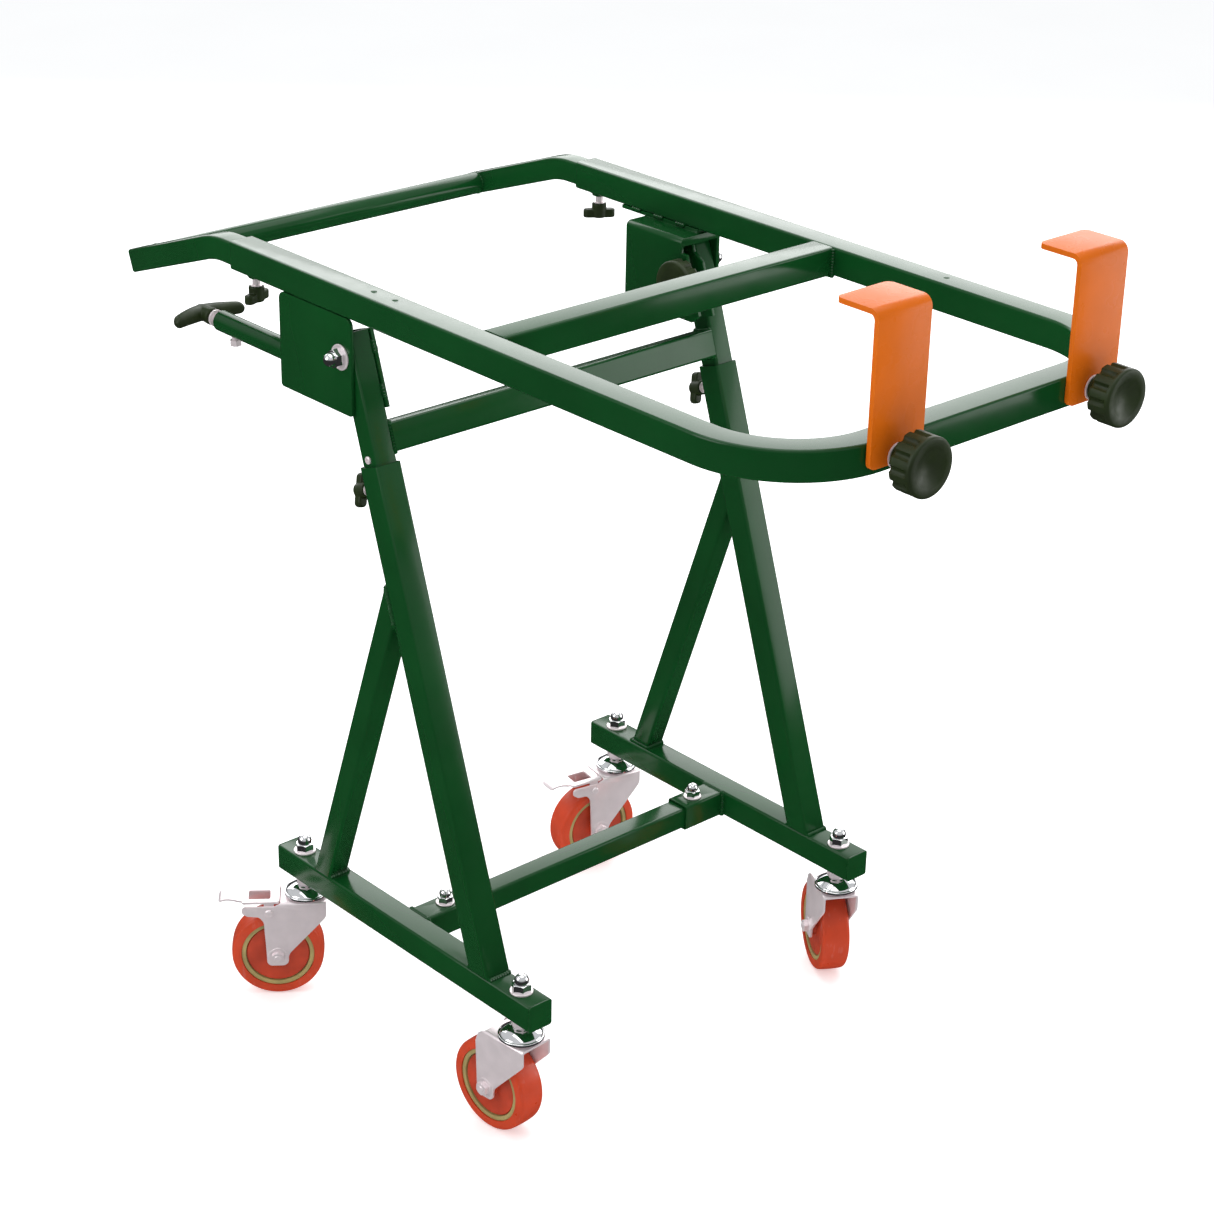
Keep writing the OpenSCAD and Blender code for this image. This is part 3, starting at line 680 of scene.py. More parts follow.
def powder_coat(name, base, sheen, roughness, peel):
    """Glossy powder coat: faint orange peel, cloudy colour and gloss, and convex edges lightened partly
    as rubbed wear and partly as a painted highlight.
    """
    material, tree, shader, coords = surface(
        name, base, roughness,
        fixed={"Specular IOR Level": sheen, "Coat Weight": sheen / 2, "Coat Roughness": 0.10,
               "IOR": 1.5},
    )
    cloud = ranged(tree, noise(tree, coords, 9.0, 5.0), 0.3, 0.7, 0.0, 1.0)
    tone = mixed(tree, cloud, lighter(base, 0.90), lighter(base, 1.14))
    # Lighter convex edges: partly rubbed wear, partly a painted highlight standing in for the arrises'
    # reflection.
    wear_and_highlight = edge_wear_and_highlight(tree, coords, 0.9 * MM)
    faint_wear_and_highlight = node(tree, "ShaderNodeMath", {"operation": "MULTIPLY"}, in_0=wear_and_highlight, in_1=0.4).outputs[0]
    tone = mixed(tree, faint_wear_and_highlight, tone, lighter(base, 2.4, 0.03))
    tree.links.new(tone, shader.inputs["Base Color"])
    gloss = ranged(tree, noise(tree, coords, 45.0, 4.0), 0.3, 0.7, roughness * 0.88, roughness * 1.15)
    tree.links.new(gloss, shader.inputs["Roughness"])
    bumped(tree, shader, noise(tree, coords, 420.0, 2.0), peel, 0.25 * MM)
    return material


def plating(name, base, metallic, roughness, streak, pitted):
    """Plated steel: soft drawn streaks, cloudy sheen and tiny pits."""
    material, tree, shader, coords = surface(name, base, roughness, metallic=metallic)
    cloud = ranged(tree, noise(tree, coords, 60.0, 4.0), 0.3, 0.7, 0.0, 1.0)
    tone = mixed(tree, cloud, lighter(base, 0.95), lighter(base, 1.04))
    tree.links.new(tone, shader.inputs["Base Color"])
    drawn = noise(tree, coords, 240.0, 3.0, stretch=(1.0, 1.0, 0.18))
    gloss = ranged(tree, drawn, 0.3, 0.7, roughness - streak, roughness + streak)
    tree.links.new(gloss, shader.inputs["Roughness"])
    bumped(tree, shader, noise(tree, coords, 900.0, 3.0), pitted, 0.06 * MM)
    return material


def moulding(name, base, roughness, grain, depth):
    """Moulded plastic: fine grain, slight cloud, polished high spots, and convex edges lightened partly
    as rubbed wear and partly as a painted highlight.
    """
    material, tree, shader, coords = surface(
        name, base, roughness, fixed={"Specular IOR Level": 0.32, "IOR": 1.47})
    cloud = ranged(tree, noise(tree, coords, 40.0, 4.0), 0.3, 0.7, 0.0, 1.0)
    tone = mixed(tree, cloud, lighter(base, 0.82), lighter(base, 1.2))
    # Lighter convex edges: partly rubbed wear, partly a painted highlight.
    wear_and_highlight = edge_wear_and_highlight(tree, coords, 0.8 * MM, 400.0)
    faint_wear_and_highlight = node(tree, "ShaderNodeMath", {"operation": "MULTIPLY"}, in_0=wear_and_highlight, in_1=0.35).outputs[0]
    tree.links.new(mixed(tree, faint_wear_and_highlight, tone, lighter(base, 1.6, 0.02)), shader.inputs["Base Color"])
    gloss = ranged(tree, noise(tree, coords, 120.0, 4.0), 0.3, 0.7, roughness * 0.8, roughness * 1.25)
    tree.links.new(gloss, shader.inputs["Roughness"])
    bumped(tree, shader, noise(tree, coords, grain, 2.0), depth, 0.1 * MM)
    return material


def tread_rubber(name, base):
    """Polyurethane tread: satin and dusty, with fine scuffs."""
    material, tree, shader, coords = surface(
        name, base, 0.34,
        fixed={"Specular IOR Level": 0.3, "Coat Weight": 0.1, "Coat Roughness": 0.22, "IOR": 1.5},
    )
    cloud = ranged(tree, noise(tree, coords, 22.0, 5.0), 0.3, 0.7, 0.0, 1.0)
    tone = mixed(tree, cloud, lighter(base, 0.86), lighter(base, 1.12))
    scuffs = ranged(tree, noise(tree, coords, 170.0, 8.0, (1, 1, 0.3)), 0.60, 0.72, 0.0, 0.35)
    tree.links.new(mixed(tree, scuffs, tone, lighter(base, 0.8, 0.10)), shader.inputs["Base Color"])
    gloss = ranged(tree, noise(tree, coords, 80.0, 5.0), 0.3, 0.7, 0.27, 0.44)
    tree.links.new(gloss, shader.inputs["Roughness"])
    bumped(tree, shader, noise(tree, coords, 520.0, 4.0), 0.25, 0.12 * MM)
    return material


def make_paints(colours):
    PAINTS.update({
        "green": powder_coat("green powder coat", tuple(colours.green), 0.22, 0.20, 0.02),
        "orange": powder_coat("orange powder coat", tuple(colours.orange), 0.10, 0.28, 0.03),
        "zinc": plating("zinc plating", tuple(colours.zinc), 0.45, 0.30, 0.02, 0.02),
        "chrome": plating("chrome plating", tuple(colours.chrome), 1.0, 0.08, 0.02, 0.02),
        "plastic": moulding("black plastic", tuple(colours.plastic), 0.46, 1100.0, 0.16),
        "tread": tread_rubber("red polyurethane", tuple(colours.tread)),
        "centre": moulding("red plastic", tuple(colours.centre), 0.42, 900.0, 0.10),
        "rim": moulding("tan plastic", tuple(colours.rim), 0.38, 900.0, 0.15),
    })


SLOT_PAINT = {
    "green_paint": "green", "orange_paint": "orange", "zinc_plate": "zinc",
    "chrome_plate": "chrome", "black_plastic": "plastic", "red_polyurethane": "tread",
    "tan_nylon": "rim",
}


# ---- tubes ----


def cut(mesh, point, normal):
    """Cuts away what lies ahead of a plane."""
    work = bmesh.new()
    work.from_mesh(mesh)
    bmesh.ops.bisect_plane(
        work, geom=work.verts[:] + work.edges[:] + work.faces[:], dist=1e-7,
        plane_co=point, plane_no=normal, clear_outer=True,
    )
    work.to_mesh(mesh)
    work.free()
    return mesh


def tube(sizes, path, side, cuts=(), corner=None, wall=None):
    """Hollow tube with rounded arrises along a path, cut off at each (point, normal) plane."""
    skin = grown(path_mesh(path), TREES["tube"], side=side, steps=sizes.steps,
                 corner=corner or sizes.corner, material=PAINTS["green"])
    for point, normal in cuts:
        skin = cut(skin, point, normal)
    return modified(tidied(skin), walled(wall or sizes.wall), edges_rounded(sizes.edge, 2, 55))


def arc(centre, start, turn, axis, steps=18):
    """Points that turn about an axis through a centre, from a start point."""
    spoke = Vector(start) - Vector(centre)
    return [
        Vector(centre) + Matrix.Rotation(turn * i / steps, 3, axis) @ spoke
        for i in range(steps + 1)
    ]


def straight(low, high, axis):
    """Centre line of a box along one axis, its ends included."""
    a, b = (low + high) / 2, (low + high) / 2
    a[axis], b[axis] = low[axis], high[axis]
    return a, b


def base_tubes(sizes):
    for side in SIDES:
        leg = Leg(side)
        low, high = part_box(f"{side}_base_beam")
        stand_in(tube(sizes, straight(low, high, 0), high.z - low.z), None, f"{side}_base_beam")

        deck = (leg.foot, Vector((0, 0, -1)))
        skin = tube(sizes, (leg.at(-leg.side), leg.at(leg.top)), leg.side, [deck])
        nut = lathe([(4.1 * MM, 0), (7.4 * MM, 0), (8 * MM, 0.6 * MM), (8 * MM, 7.5 * MM),
                     (4.1 * MM, 7.5 * MM)], 40, loop=True)
        knob_at = Vector(JOINTS[f"{side}_leg_knob_turn"]["pos_m"])
        along = (knob_at - leg.foot).dot(leg.up)
        placed(nut, axis_frame(leg.at(along, -leg.side / 2 - 7 * MM), leg.front))
        stand_in(joined(skin, coloured(nut, "green")), None, f"{side}_leg_tube")

        low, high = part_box(f"{side}_brace_tube")
        width = high.y - low.y
        lean = Vector((math.sin(sizes.brace_lean), 0, math.cos(sizes.brace_lean)))
        foot = Vector((low.x + width / 2 / lean.z, (low.y + high.y) / 2, leg.deck))
        back = (leg.at(0, -leg.side / 2), leg.front)
        stand_in(tube(sizes, (foot - lean * leg.side, foot + lean), width, [deck, back]), None,
                 f"{side}_brace_tube")

    low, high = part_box("lower_cross_tube")
    stand_in(tube(sizes, straight(low, high, 1), high.z - low.z), None, "lower_cross_tube")


def lock_hole(skin):
    """Inner leg with the hole that the tilt lock's tip enters."""
    low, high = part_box("lock_rod")
    middle = (low + high) / 2
    drill = bpy.data.objects.new("drill", placed(
        lathe([(0, 0), (5.4 * MM, 0), (5.4 * MM, 30 * MM), (0, 30 * MM)], 48),
        axis_frame((high.x - 10 * MM, middle.y, middle.z), (1, 0, 0))))
    bpy.context.scene.collection.objects.link(drill)
    drilled = modified(skin, ("BOOLEAN", {"object": drill, "solver": "EXACT"}))
    bpy.data.objects.remove(drill)
    return drilled


def upper_tubes(sizes):
    for side in SIDES:
        leg = Leg(side)
        low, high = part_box(f"{side}_upper_leg")
        width = high.y - low.y
        half = width / 2
        top = (high.z - leg.deck + half * leg.up.x) / leg.up.z
        bottom = (low.z - leg.deck - half * leg.up.x) / leg.up.z
        skin = tube(sizes, (leg.at(bottom), leg.at(top)), width)
        if side == "right":
            skin = lock_hole(skin)
        stand_in(skin, None, f"{side}_upper_leg")
    low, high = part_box("upper_cross_bar")
    middle = (low + high) / 2
    centre = Leg("right").side
    ends = (Vector((middle.x, low.y, middle.z)), Vector((middle.x, high.y, middle.z)))
    bar = tube(sizes, ends, centre)
    lean = math.atan2(-Leg("right").up.x, Leg("right").up.z)
    turn = Matrix.Translation(middle) @ Matrix.Rotation(-lean, 4, "Y") @ Matrix.Translation(-middle)
    stand_in(placed(bar, turn), None, "upper_cross_bar")


def table_tubes(sizes):
    low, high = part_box("table_frame")
    side = Leg("right").side
    half = side / 2
    z = high.z - half
    bend = sizes.table_bend
    turn_x = high.x - half - bend
    rail_y = high.y - half
    middle = (low.y + high.y) / 2
    spread = rail_y - middle
    path = [Vector((low.x, middle - spread, z))]
    path += arc((turn_x, middle - spread + bend, z), (turn_x, middle - spread, z), math.pi / 2, "Z")
    path += arc((turn_x, middle + spread - bend, z), (high.x - half, middle + spread - bend, z),
                math.pi / 2, "Z")
    path.append(Vector((low.x, middle + spread, z)))
    skin = tube(sizes, path, side)
    nuts = []
    for rail in SIDES:
        knob = Vector(JOINTS[f"{rail}_rail_knob_turn"]["pos_m"])
        nut = lathe([(4.1 * MM, 0), (7.4 * MM, 0), (8 * MM, 0.6 * MM), (8 * MM, 5.2 * MM),
                     (4.1 * MM, 5.2 * MM)], 40, loop=True)
        nuts.append(coloured(placed(nut, Matrix.Translation((knob.x, knob.y, low.z))), "green"))
    stand_in(joined(skin, *nuts), None, "table_frame")

    low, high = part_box("table_cross_bar")
    stand_in(tube(sizes, straight(low, high, 1), high.z - low.z), None, "table_cross_bar")


def handle_tubes(sizes):
    drop = sizes.handle_drop
    radius = sizes.handle_bend / math.sin(drop)
    for side in SIDES:
        low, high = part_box(f"{side}_handle_arm")
        width = high.y - low.y
        half = width / 2
        y = (low.y + high.y) / 2
        rail_z = high.z - half
        end = Vector((low.x + half * math.sin(drop), y, low.z + half * math.cos(drop)))
        corner_x = end.x + (rail_z - end.z) / math.tan(drop)
        start = Vector((corner_x + radius * math.tan(drop / 2), y, rail_z))
        path = [Vector((high.x, y, rail_z))]
        path += arc(start - Vector((0, 0, radius)), start, -drop, "Y", 12)
        path.append(end)
        stand_in(tube(sizes, path, width), None, f"{side}_handle_arm")
    low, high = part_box("handle_bar")
    bore = high.z - low.z
    bar = tube(sizes, straight(low, high, 1), bore, corner=bore / 2 - 1e-5, wall=1.5 * MM)
    stand_in(bar, None, "handle_bar")


def coloured(mesh, paint):
    mesh.materials.clear()
    mesh.materials.append(PAINTS[paint])
    return mesh


# ---- plates ----


PLATES = ("left_pivot_bracket", "leg_side_plates", "cross_tube_sleeves", "base_end_plugs",
          "handle_end_plugs")


def right_bracket(sizes):
    """Flat plate under the right rail, seen edge on from the front."""
    low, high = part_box("right_pivot_bracket")
    outline = rounded([
        (low.x, low.z, sizes.low_corner), (high.x, low.z, sizes.low_corner),
        (high.x, high.z, sizes.top_corner), (low.x, high.z, sizes.top_corner),
    ], 8)
    plate = slab(outline, high.y - low.y, edge=sizes.edge)
    return placed(plate, Matrix.Translation((0, high.y, 0)) @ Matrix.Rotation(math.pi / 2, 4, "X"))


def plates(sizes):
    stand_in(right_bracket(sizes), PAINTS["green"], "right_pivot_bracket")
    for name in PLATES:
        stand_in(refined(name, sizes.edge), PAINTS["green"], name)


def hook_mesh(low, high, sizes):
    """Bent plate: up the face, over the bend and along the flange, with its corners rounded."""
    bend = sizes.hook_bend
    corner = sizes.hook_corner
    half = (high.y - low.y) / 2
    middle = (low.y + high.y) / 2
    face, top = high.x, high.z
    line = [Vector((face, 0, low.z + corner * (1 - math.cos(a)))) for a in spread_angles(8)]
    ends = [half - corner * (1 - math.sin(a)) for a in spread_angles(8)]
    line.append(Vector((face, 0, top - bend)))
    ends.append(half)
    line += arc((face - bend, 0, top - bend), (face, 0, top - bend), -math.pi / 2, "Y", 10)[1:]
    ends += [half] * 10
    line += [Vector((low.x + corner * (1 - math.cos(a)), 0, top)) for a in spread_angles(8)[::-1]]
    ends += [half - corner * (1 - math.sin(a)) for a in spread_angles(8)[::-1]]
    work = bmesh.new()
    rows = [
        [work.verts.new((p.x, middle + side * w, p.z)) for side in (-1, 0, 1)]
        for p, w in zip(line, ends)
    ]
    for a, b in zip(rows, rows[1:]):
        for i in range(2):
            work.faces.new((a[i], a[i + 1], b[i + 1], b[i]))
    mesh = bpy.data.meshes.new("hook")
    work.to_mesh(mesh)
    work.free()
    if mesh.polygons[len(mesh.polygons) // 2].normal.x < 0:
        mesh.flip_normals()
    return modified(mesh, walled(sizes.hook_thickness), edges_rounded(0.9 * MM, 3, 50))


def spread_angles(count):
    return [math.pi / 2 * i / count for i in range(count + 1)]


def hooks(sizes):
    for side in SIDES:
        low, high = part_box(f"{side}_hook")
        stand_in(hook_mesh(low, high, sizes), PAINTS["orange"], f"{side}_hook")


# ---- welds ----


# Half the inner leg's width, the side plates' thickness, and the leans of brace and leg
INNER_HALF = 12.5 * MM
PLATE = 4 * MM
BRACE_LEAN = math.radians(19)
LEG_LEAN = math.radians(18.5)


def loop_of(centre, along, across, half_a, half_b, corner=2 * MM):
    """Closed rounded rectangle about a centre, in the plane of two directions."""
    outline = rounded([(-half_a, -half_b, corner), (half_a, -half_b, corner),
                       (half_a, half_b, corner), (-half_a, half_b, corner)], 4)
    points = [centre + along * p[0] + across * p[1] for p in outline]
    return points + [points[0]]


def ring_of(centre, axis, radius, steps=32):
    turn = axis_frame(centre, axis)
    return [turn @ Vector((radius * math.cos(a), radius * math.sin(a), 0))
            for a in turns(steps) + [0.0]]


def base_welds():
    paths = []
    for side in SIDES:
        leg = Leg(side)
        out = Vector((0, leg.out, 0))
        half = leg.side / 2
        reach = half / leg.up.z
        for front in (-1, 1):
            middle = leg.foot + Vector((front * (reach + 0.4 * MM), 0, 0.6 * MM))
            paths.append([middle - out * (half - 1 * MM), middle + out * (half - 1 * MM)])
        low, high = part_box(f"{side}_brace_tube")
        width = (high.y - low.y) / 2
        y = (low.y + high.y) / 2
        run = width / math.cos(BRACE_LEAN)
        foot = Vector((low.x + run, y, leg.deck + 0.5 * MM))
        inner = foot - out * width
        paths.append([
            foot + out * (width - 1 * MM) - Vector((run, 0, 0)),
            inner - Vector((run, 0, 0)), inner + Vector((run, 0, 0)),
            foot + out * (width - 1 * MM) + Vector((run, 0, 0)),
        ])
        meet = Vector((high.x, y, high.z))
        along = (meet - leg.foot).dot(leg.up)
        spread = width / math.sin(BRACE_LEAN + LEG_LEAN)
        face = leg.at(along - spread, -half - 0.3 * MM)
        face.y = y
        paths.append(loop_of(face, leg.up, out, spread, width - 0.6 * MM))
        sleeve = leg.foot - out * half
        low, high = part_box("cross_tube_sleeves")
        sleeve.x = (low.x + high.x) / 2
        sleeve.z = (low.z + high.z) / 2
        paths.append(loop_of(sleeve - out * 0.4 * MM, Vector((1, 0, 0)), Vector((0, 0, 1)),
                             half, half - 1.2 * MM))
        knob = Vector(JOINTS[f"{side}_leg_knob_turn"]["pos_m"])
        at = (knob - leg.foot).dot(leg.up)
        paths.append(ring_of(leg.at(at, -half), leg.front, 8.2 * MM))
    return paths


def upper_welds():
    paths = []
    low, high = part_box("upper_cross_bar")
    middle = (low + high) / 2
    for side in SIDES:
        leg = Leg(side)
        out = Vector((0, leg.out, 0))
        face = Vector((middle.x, low.y if side == "right" else high.y, middle.z))
        half = leg.side / 2
        paths.append(loop_of(face - out * 0.3 * MM, leg.front, leg.up, 12 * MM, half + 0.4 * MM))
        inner = leg.at(0, 0, -(INNER_HALF + PLATE))
        for start, end in ((592, 606), (636, 650)):
            for front in (-12, 12):
                point = inner + leg.front * front * MM + out * PLATE
                paths.append([point + leg.up * start * MM, point + leg.up * end * MM])
    return paths


def stitches(start, end, count, share=0.5):
    """Short beads spaced evenly from start to end."""
    step = (end - start) / count
    return [[start + step * (i + (1 - share) / 2), start + step * (i + (1 + share) / 2)]
            for i in range(count)]


def table_welds():
    paths = []
    low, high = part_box("table_cross_bar")
    for y, inward in ((low.y, 1), (high.y, -1)):
        y += inward * 0.3 * MM
        half = (high.x - low.x) / 2
        x = (low.x + high.x) / 2
        z = (low.z + high.z) / 2
        paths.append([Vector((x - half, y, z + half - 1.5 * MM)), Vector((x - half, y, z - half)),
                      Vector((x + half, y, z - half)), Vector((x + half, y, z + half - 1.5 * MM))])
    low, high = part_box("right_pivot_bracket")
    inset = 14 * MM
    paths += stitches(Vector((low.x + inset, high.y, high.z)),
                      Vector((high.x - inset, high.y, high.z)), 3, 0.45)
    low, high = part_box("left_pivot_bracket")
    y = high.y - 29.5 * MM
    paths += stitches(Vector((low.x + 6 * MM, y, high.z - 0.5 * MM)),
                      Vector((low.x + 110 * MM, y, high.z - 0.5 * MM)), 3, 0.4)
    for x in (low.x, low.x + 119 * MM):
        paths.append([Vector((x, high.y - 24 * MM, high.z - 0.6 * MM)),
                      Vector((x, high.y - 8 * MM, high.z - 0.6 * MM))])
    low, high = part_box("lock_tube")
    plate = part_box("right_pivot_bracket")[1].y
    middle = (low.z + high.z) / 2
    for z in (-1, 1):
        y = plate + 1.6 * MM
        start = Vector((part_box("right_pivot_bracket")[0].x + 8 * MM, y, middle + z * 7.2 * MM))
        paths += stitches(start, Vector((high.x - 4 * MM, y, start.z)), 2, 0.55)
    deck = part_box("table_frame")[1].z - Leg("right").side
    for side in SIDES:
        knob = Vector(JOINTS[f"{side}_rail_knob_turn"]["pos_m"])
        paths.append(ring_of(Vector((knob.x, knob.y, deck)), (0, 0, 1), 8.2 * MM))
    return paths


def handle_welds():
    low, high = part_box("handle_bar")
    middle = (low + high) / 2
    return [
        ring_of(Vector((middle.x, y, middle.z)), (0, 1, 0), (high.z - low.z) / 2 - 0.9 * MM, 48)
        for y in (low.y + 0.4 * MM, high.y - 0.4 * MM)
    ]


def welds(sizes):
    for body, paths, radius in (("base", base_welds(), sizes.heavy),
                                ("upper_frame", upper_welds(), sizes.radius),
                                ("table", table_welds(), sizes.radius),
                                ("push_handle", handle_welds(), sizes.fine)):
        beads = grown(path_mesh(*paths), TREES["weld"], radius=radius, pitch=sizes.pitch,
                      depth=sizes.depth, uneven=sizes.uneven, seed=sizes.seed,
                      material=PAINTS["green"])
        piece(f"weld_beads_{body}", tidied(beads), None, body, "green_paint")


# ---- fasteners ----


def hex_radius(across):
    """Radius of a hexagon at an angle."""
    def radius(a):
        return across / 2 / math.cos((a + math.pi / 6) % (math.pi / 3) - math.pi / 6)
    return radius


def hex_head(across, height, both=True, steps=96):
    """Hexagon with its corners turned off, from z = 0 up."""
    flat = hex_radius(across)
    inner = across / 2 * 0.98
    corner = across / math.sqrt(3)
    chamfer = (corner - across / 2) * 0.55
    slope = [(inner + (corner - inner) * i / 6, chamfer * i / 6) for i in range(7)]
    rings = slope if both else [(corner, 0)]
    rings = rings + [(cone, height - z) for cone, z in reversed(slope)]
    return loft([
        [(min(flat(a), cone) * math.cos(a), min(flat(a), cone) * math.sin(a), z)
         for a in turns(steps)]
        for cone, z in rings
    ])


def cap_nut(across):
    """Domed cap nut on z = 0."""
    base = hex_head(across, across * 0.47, both=False)
    neck = across * 0.42
    dome = [(neck, across * 0.44), (neck, across * 0.6)]
    dome += [(neck * math.cos(a), across * 0.6 + neck * math.sin(a)) for a in spread_angles(12)[1:]]
    return joined(base, lathe([(0, across * 0.44)] + dome, 64))


def washer(outer, inner, height, z=0.0):
    edge = min(0.35 * MM, height / 3)
    return lathe([
        (inner, z), (outer - edge, z), (outer, z + edge), (outer, z + height - edge),
        (outer - edge, z + height), (inner, z + height),
    ], 64, loop=True)


def fastened(name, nodes, parts):
    """One piece of several (mesh, places, paint) sets."""
    meshes = [copies(mesh, places, PAINTS[paint]) for mesh, places, paint in parts]
    return stand_in(joined(*meshes), None, name, *nodes)


def fasteners():
    up, down = (0, 0, 1), (0, 0, -1)
    leg = Leg("right")
    deck = leg.deck
    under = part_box("right_base_beam")[0].z
    stems = [Vector(JOINTS[f"{name}_swivel"]["pos_m"]) for name in CASTERS]
    on_deck = [(Vector((p.x, p.y, deck)), up) for p in stems]
    on_washer = [(p + Vector((0, 0, 2 * MM)), up) for p, _ in on_deck]
    below = [(Vector((p.x, p.y, under)), down) for p in stems]
    fastened("caster_nuts", (), (
        (washer(12 * MM, 6.1 * MM, 2 * MM), on_deck, "zinc"),
        (cap_nut(18 * MM), on_washer, "chrome"),
        (hex_head(19 * MM, 9.2 * MM), below, "zinc"),
    ))

    low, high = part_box("cross_tube_bolts")
    x = (low.x + high.x) / 2
    reach = (high.y - low.y) / 2 - 10 * MM
    middle = (low.y + high.y) / 2
    bolts = [Vector((x, middle + s * reach, 0)) for s in (-1, 1)]
    fastened("cross_tube_bolts", (), (
        (washer(10 * MM, 4.1 * MM, 1.6 * MM), [(Vector((p.x, p.y, deck)), up) for p in bolts], "zinc"),
        (cap_nut(15 * MM), [(Vector((p.x, p.y, deck + 1.6 * MM)), up) for p in bolts], "chrome"),
        (hex_head(13 * MM, 5.5 * MM), [(Vector((p.x, p.y, under)), down) for p in bolts], "zinc"),
    ))

    pivot = Vector(JOINTS["table_tilt"]["pos_m"])
    faces, backs = [], []
    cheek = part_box("right_pivot_bracket")[0].y
    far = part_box("left_pivot_bracket")[1].y
    for s, y in ((-1, cheek), (1, far)):
        faces.append((Vector((pivot.x, y, pivot.z)), (0, s, 0)))
        start = leg_plate_face(s)
        backs.append((Vector((pivot.x, start, pivot.z)), (0, -s, 0)))
    on_faces = [(p + Vector(axis) * 2 * MM, axis) for p, axis in faces]
    shank = lathe([(0, -1 * MM), (5 * MM, -1 * MM), (5 * MM, 40 * MM), (0, 40 * MM)], 40)
    into = [(p, tuple(-c for c in axis)) for p, axis in backs]
    fastened("pivot_bolts", (), (
        (washer(13 * MM, 5.1 * MM, 2 * MM), faces, "zinc"),
        (cap_nut(17 * MM), on_faces, "chrome"),
        (hex_head(16 * MM, 6.4 * MM), backs, "zinc"),
        (shank, into, "zinc"),
    ))

    screws = []
    for name in SIDES:
        leg = Leg(name)
        screws.append((leg.at(leg.top + 7 * MM, 0, INNER_HALF), (0, leg.out, 0)))
    head = lathe([(0, -3 * MM), (3 * MM, -3 * MM), (3 * MM, 0), (4 * MM, 0.05 * MM),
                  (4 * MM, 1.2 * MM), (3.4 * MM, 1.9 * MM), (2.4 * MM, 2.2 * MM),
                  (1.4 * MM, 2.2 * MM), (1.3 * MM, 1.2 * MM), (0, 1.2 * MM)], 32)
    fastened("height_stop_screws", (), ((head, screws, "zinc"),))


def leg_plate_face(s):
    """Y of the inner face of a leg's side plate, where the pivot bolt's head rests."""
    leg = Leg("right" if s < 0 else "left")
    return leg.foot.y - s * (INNER_HALF + PLATE)


def rivets(sizes):
    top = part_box("table_frame")[1].z
    pivot = Vector(JOINTS["table_tilt"]["pos_m"])
    right_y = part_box("right_handle_arm")[0].y + 15 * MM
    left_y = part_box("left_handle_arm")[1].y - 10 * MM
    places = [
        (Vector((pivot.x + 32 * MM, right_y, top)), (0, 0, 1)),
        (Vector((pivot.x + 65 * MM, right_y, top)), (0, 0, 1)),
        (Vector((pivot.x + 348 * MM, left_y, top)), (0, 0, 1)),
    ]
    r = sizes.rivet
    head = lathe([(0, -0.4 * MM), (r, -0.4 * MM)]
                 + [(r * math.cos(a), -0.2 * MM) if i == 0 else
                    (r * math.cos(a), 0.25 * r * math.sin(a) - 0.2 * MM)
                    for i, a in enumerate(spread_angles(6))], 32)
    return head, places


# ---- knobs ----


def wing_knob(sizes, stud):
    """Stud, hub with its insert, and two wings, along z from the stud's tip, wings along x."""
    hub = sizes.hub
    top = stud + 16.5 * MM
    body = lathe([(0, stud), (hub - 0.9 * MM, stud), (hub, stud + 0.9 * MM), (hub, top - 1.6 * MM),
                  (hub - 0.5 * MM, top - 0.6 * MM), (hub - 1.6 * MM, top), (0, top)], 48)
    half, reach = sizes.wing / 2, sizes.span
    outline = rounded([(-reach, -half, half * 0.98), (reach, -half, half * 0.98),
                       (reach, half, half * 0.98), (-reach, half, half * 0.98)], 10)
    wings = placed(slab(outline, 9.5 * MM, edge=1.4 * MM), Matrix.Translation((0, 0, stud + 7 * MM)))
    whole = modified(joined(body, wings), ("REMESH", {"mode": "VOXEL", "voxel_size": 0.5 * MM}),
                     ("SMOOTH", {"factor": 0.5, "iterations": 4}))
    rod = lathe([(0, 0), (3.4 * MM, 0), (4 * MM, 0.7 * MM), (4 * MM, stud + 1 * MM),
                 (0, stud + 1 * MM)], 36)
    collar = washer(6.2 * MM, 3.9 * MM, 1 * MM, stud - 0.9 * MM)
    return joined(coloured(whole, "plastic"), coloured(rod, "zinc"), coloured(collar, "zinc"))


def fluted_head(sizes, z, height):
    """Levels, radius and top of a large knob's head, fluted behind a plain front rim."""
    outer = sizes.large
    flute, away = 5 * MM, 30.5 * MM
    step = math.tau / sizes.flutes
    end = z + height - 6 * MM

    def radius(a, level):
        off = (a + step / 2) % step - step / 2
        inside = flute ** 2 - (away * math.sin(off)) ** 2
        if inside <= 0:
            return outer
        dip = outer - min(outer, away * math.cos(off) - math.sqrt(inside))
        fade = min(1.0, max(0.0, (end + 1.6 * MM - level) / (1.6 * MM)))
        return outer - 1.35 * dip * fade

    top = z + height
    levels = [(15 * MM, z), (4 * MM, z)] + quarter(2 * MM, z, -1, 4)
    levels += [(0, z + (end - z) * i / 5) for i in range(1, 6)]
    levels += [(0, end + i * 0.4 * MM) for i in range(1, 6)] + quarter(2.6 * MM, top, 1, 6)
    return levels, radius, top


def dished_face(top, outer, steps=180):
    """Face of a large knob: flat rim round a smooth dish."""
    dish, depth = 18.4 * MM, 5 * MM
    spec = [(outer, 0.0), (19.2 * MM, 0.0), (dish, -0.4 * MM)]
    spec += [(dish * (1 - i / 14), -0.4 * MM - depth * math.sin(math.pi / 2 * i / 14))
             for i in range(1, 14)]
    spec.append((0.4 * MM, -0.4 * MM - depth))
    return [[(radius * math.cos(a), radius * math.sin(a), top + drop) for a in turns(steps)]
            for radius, drop in spec]


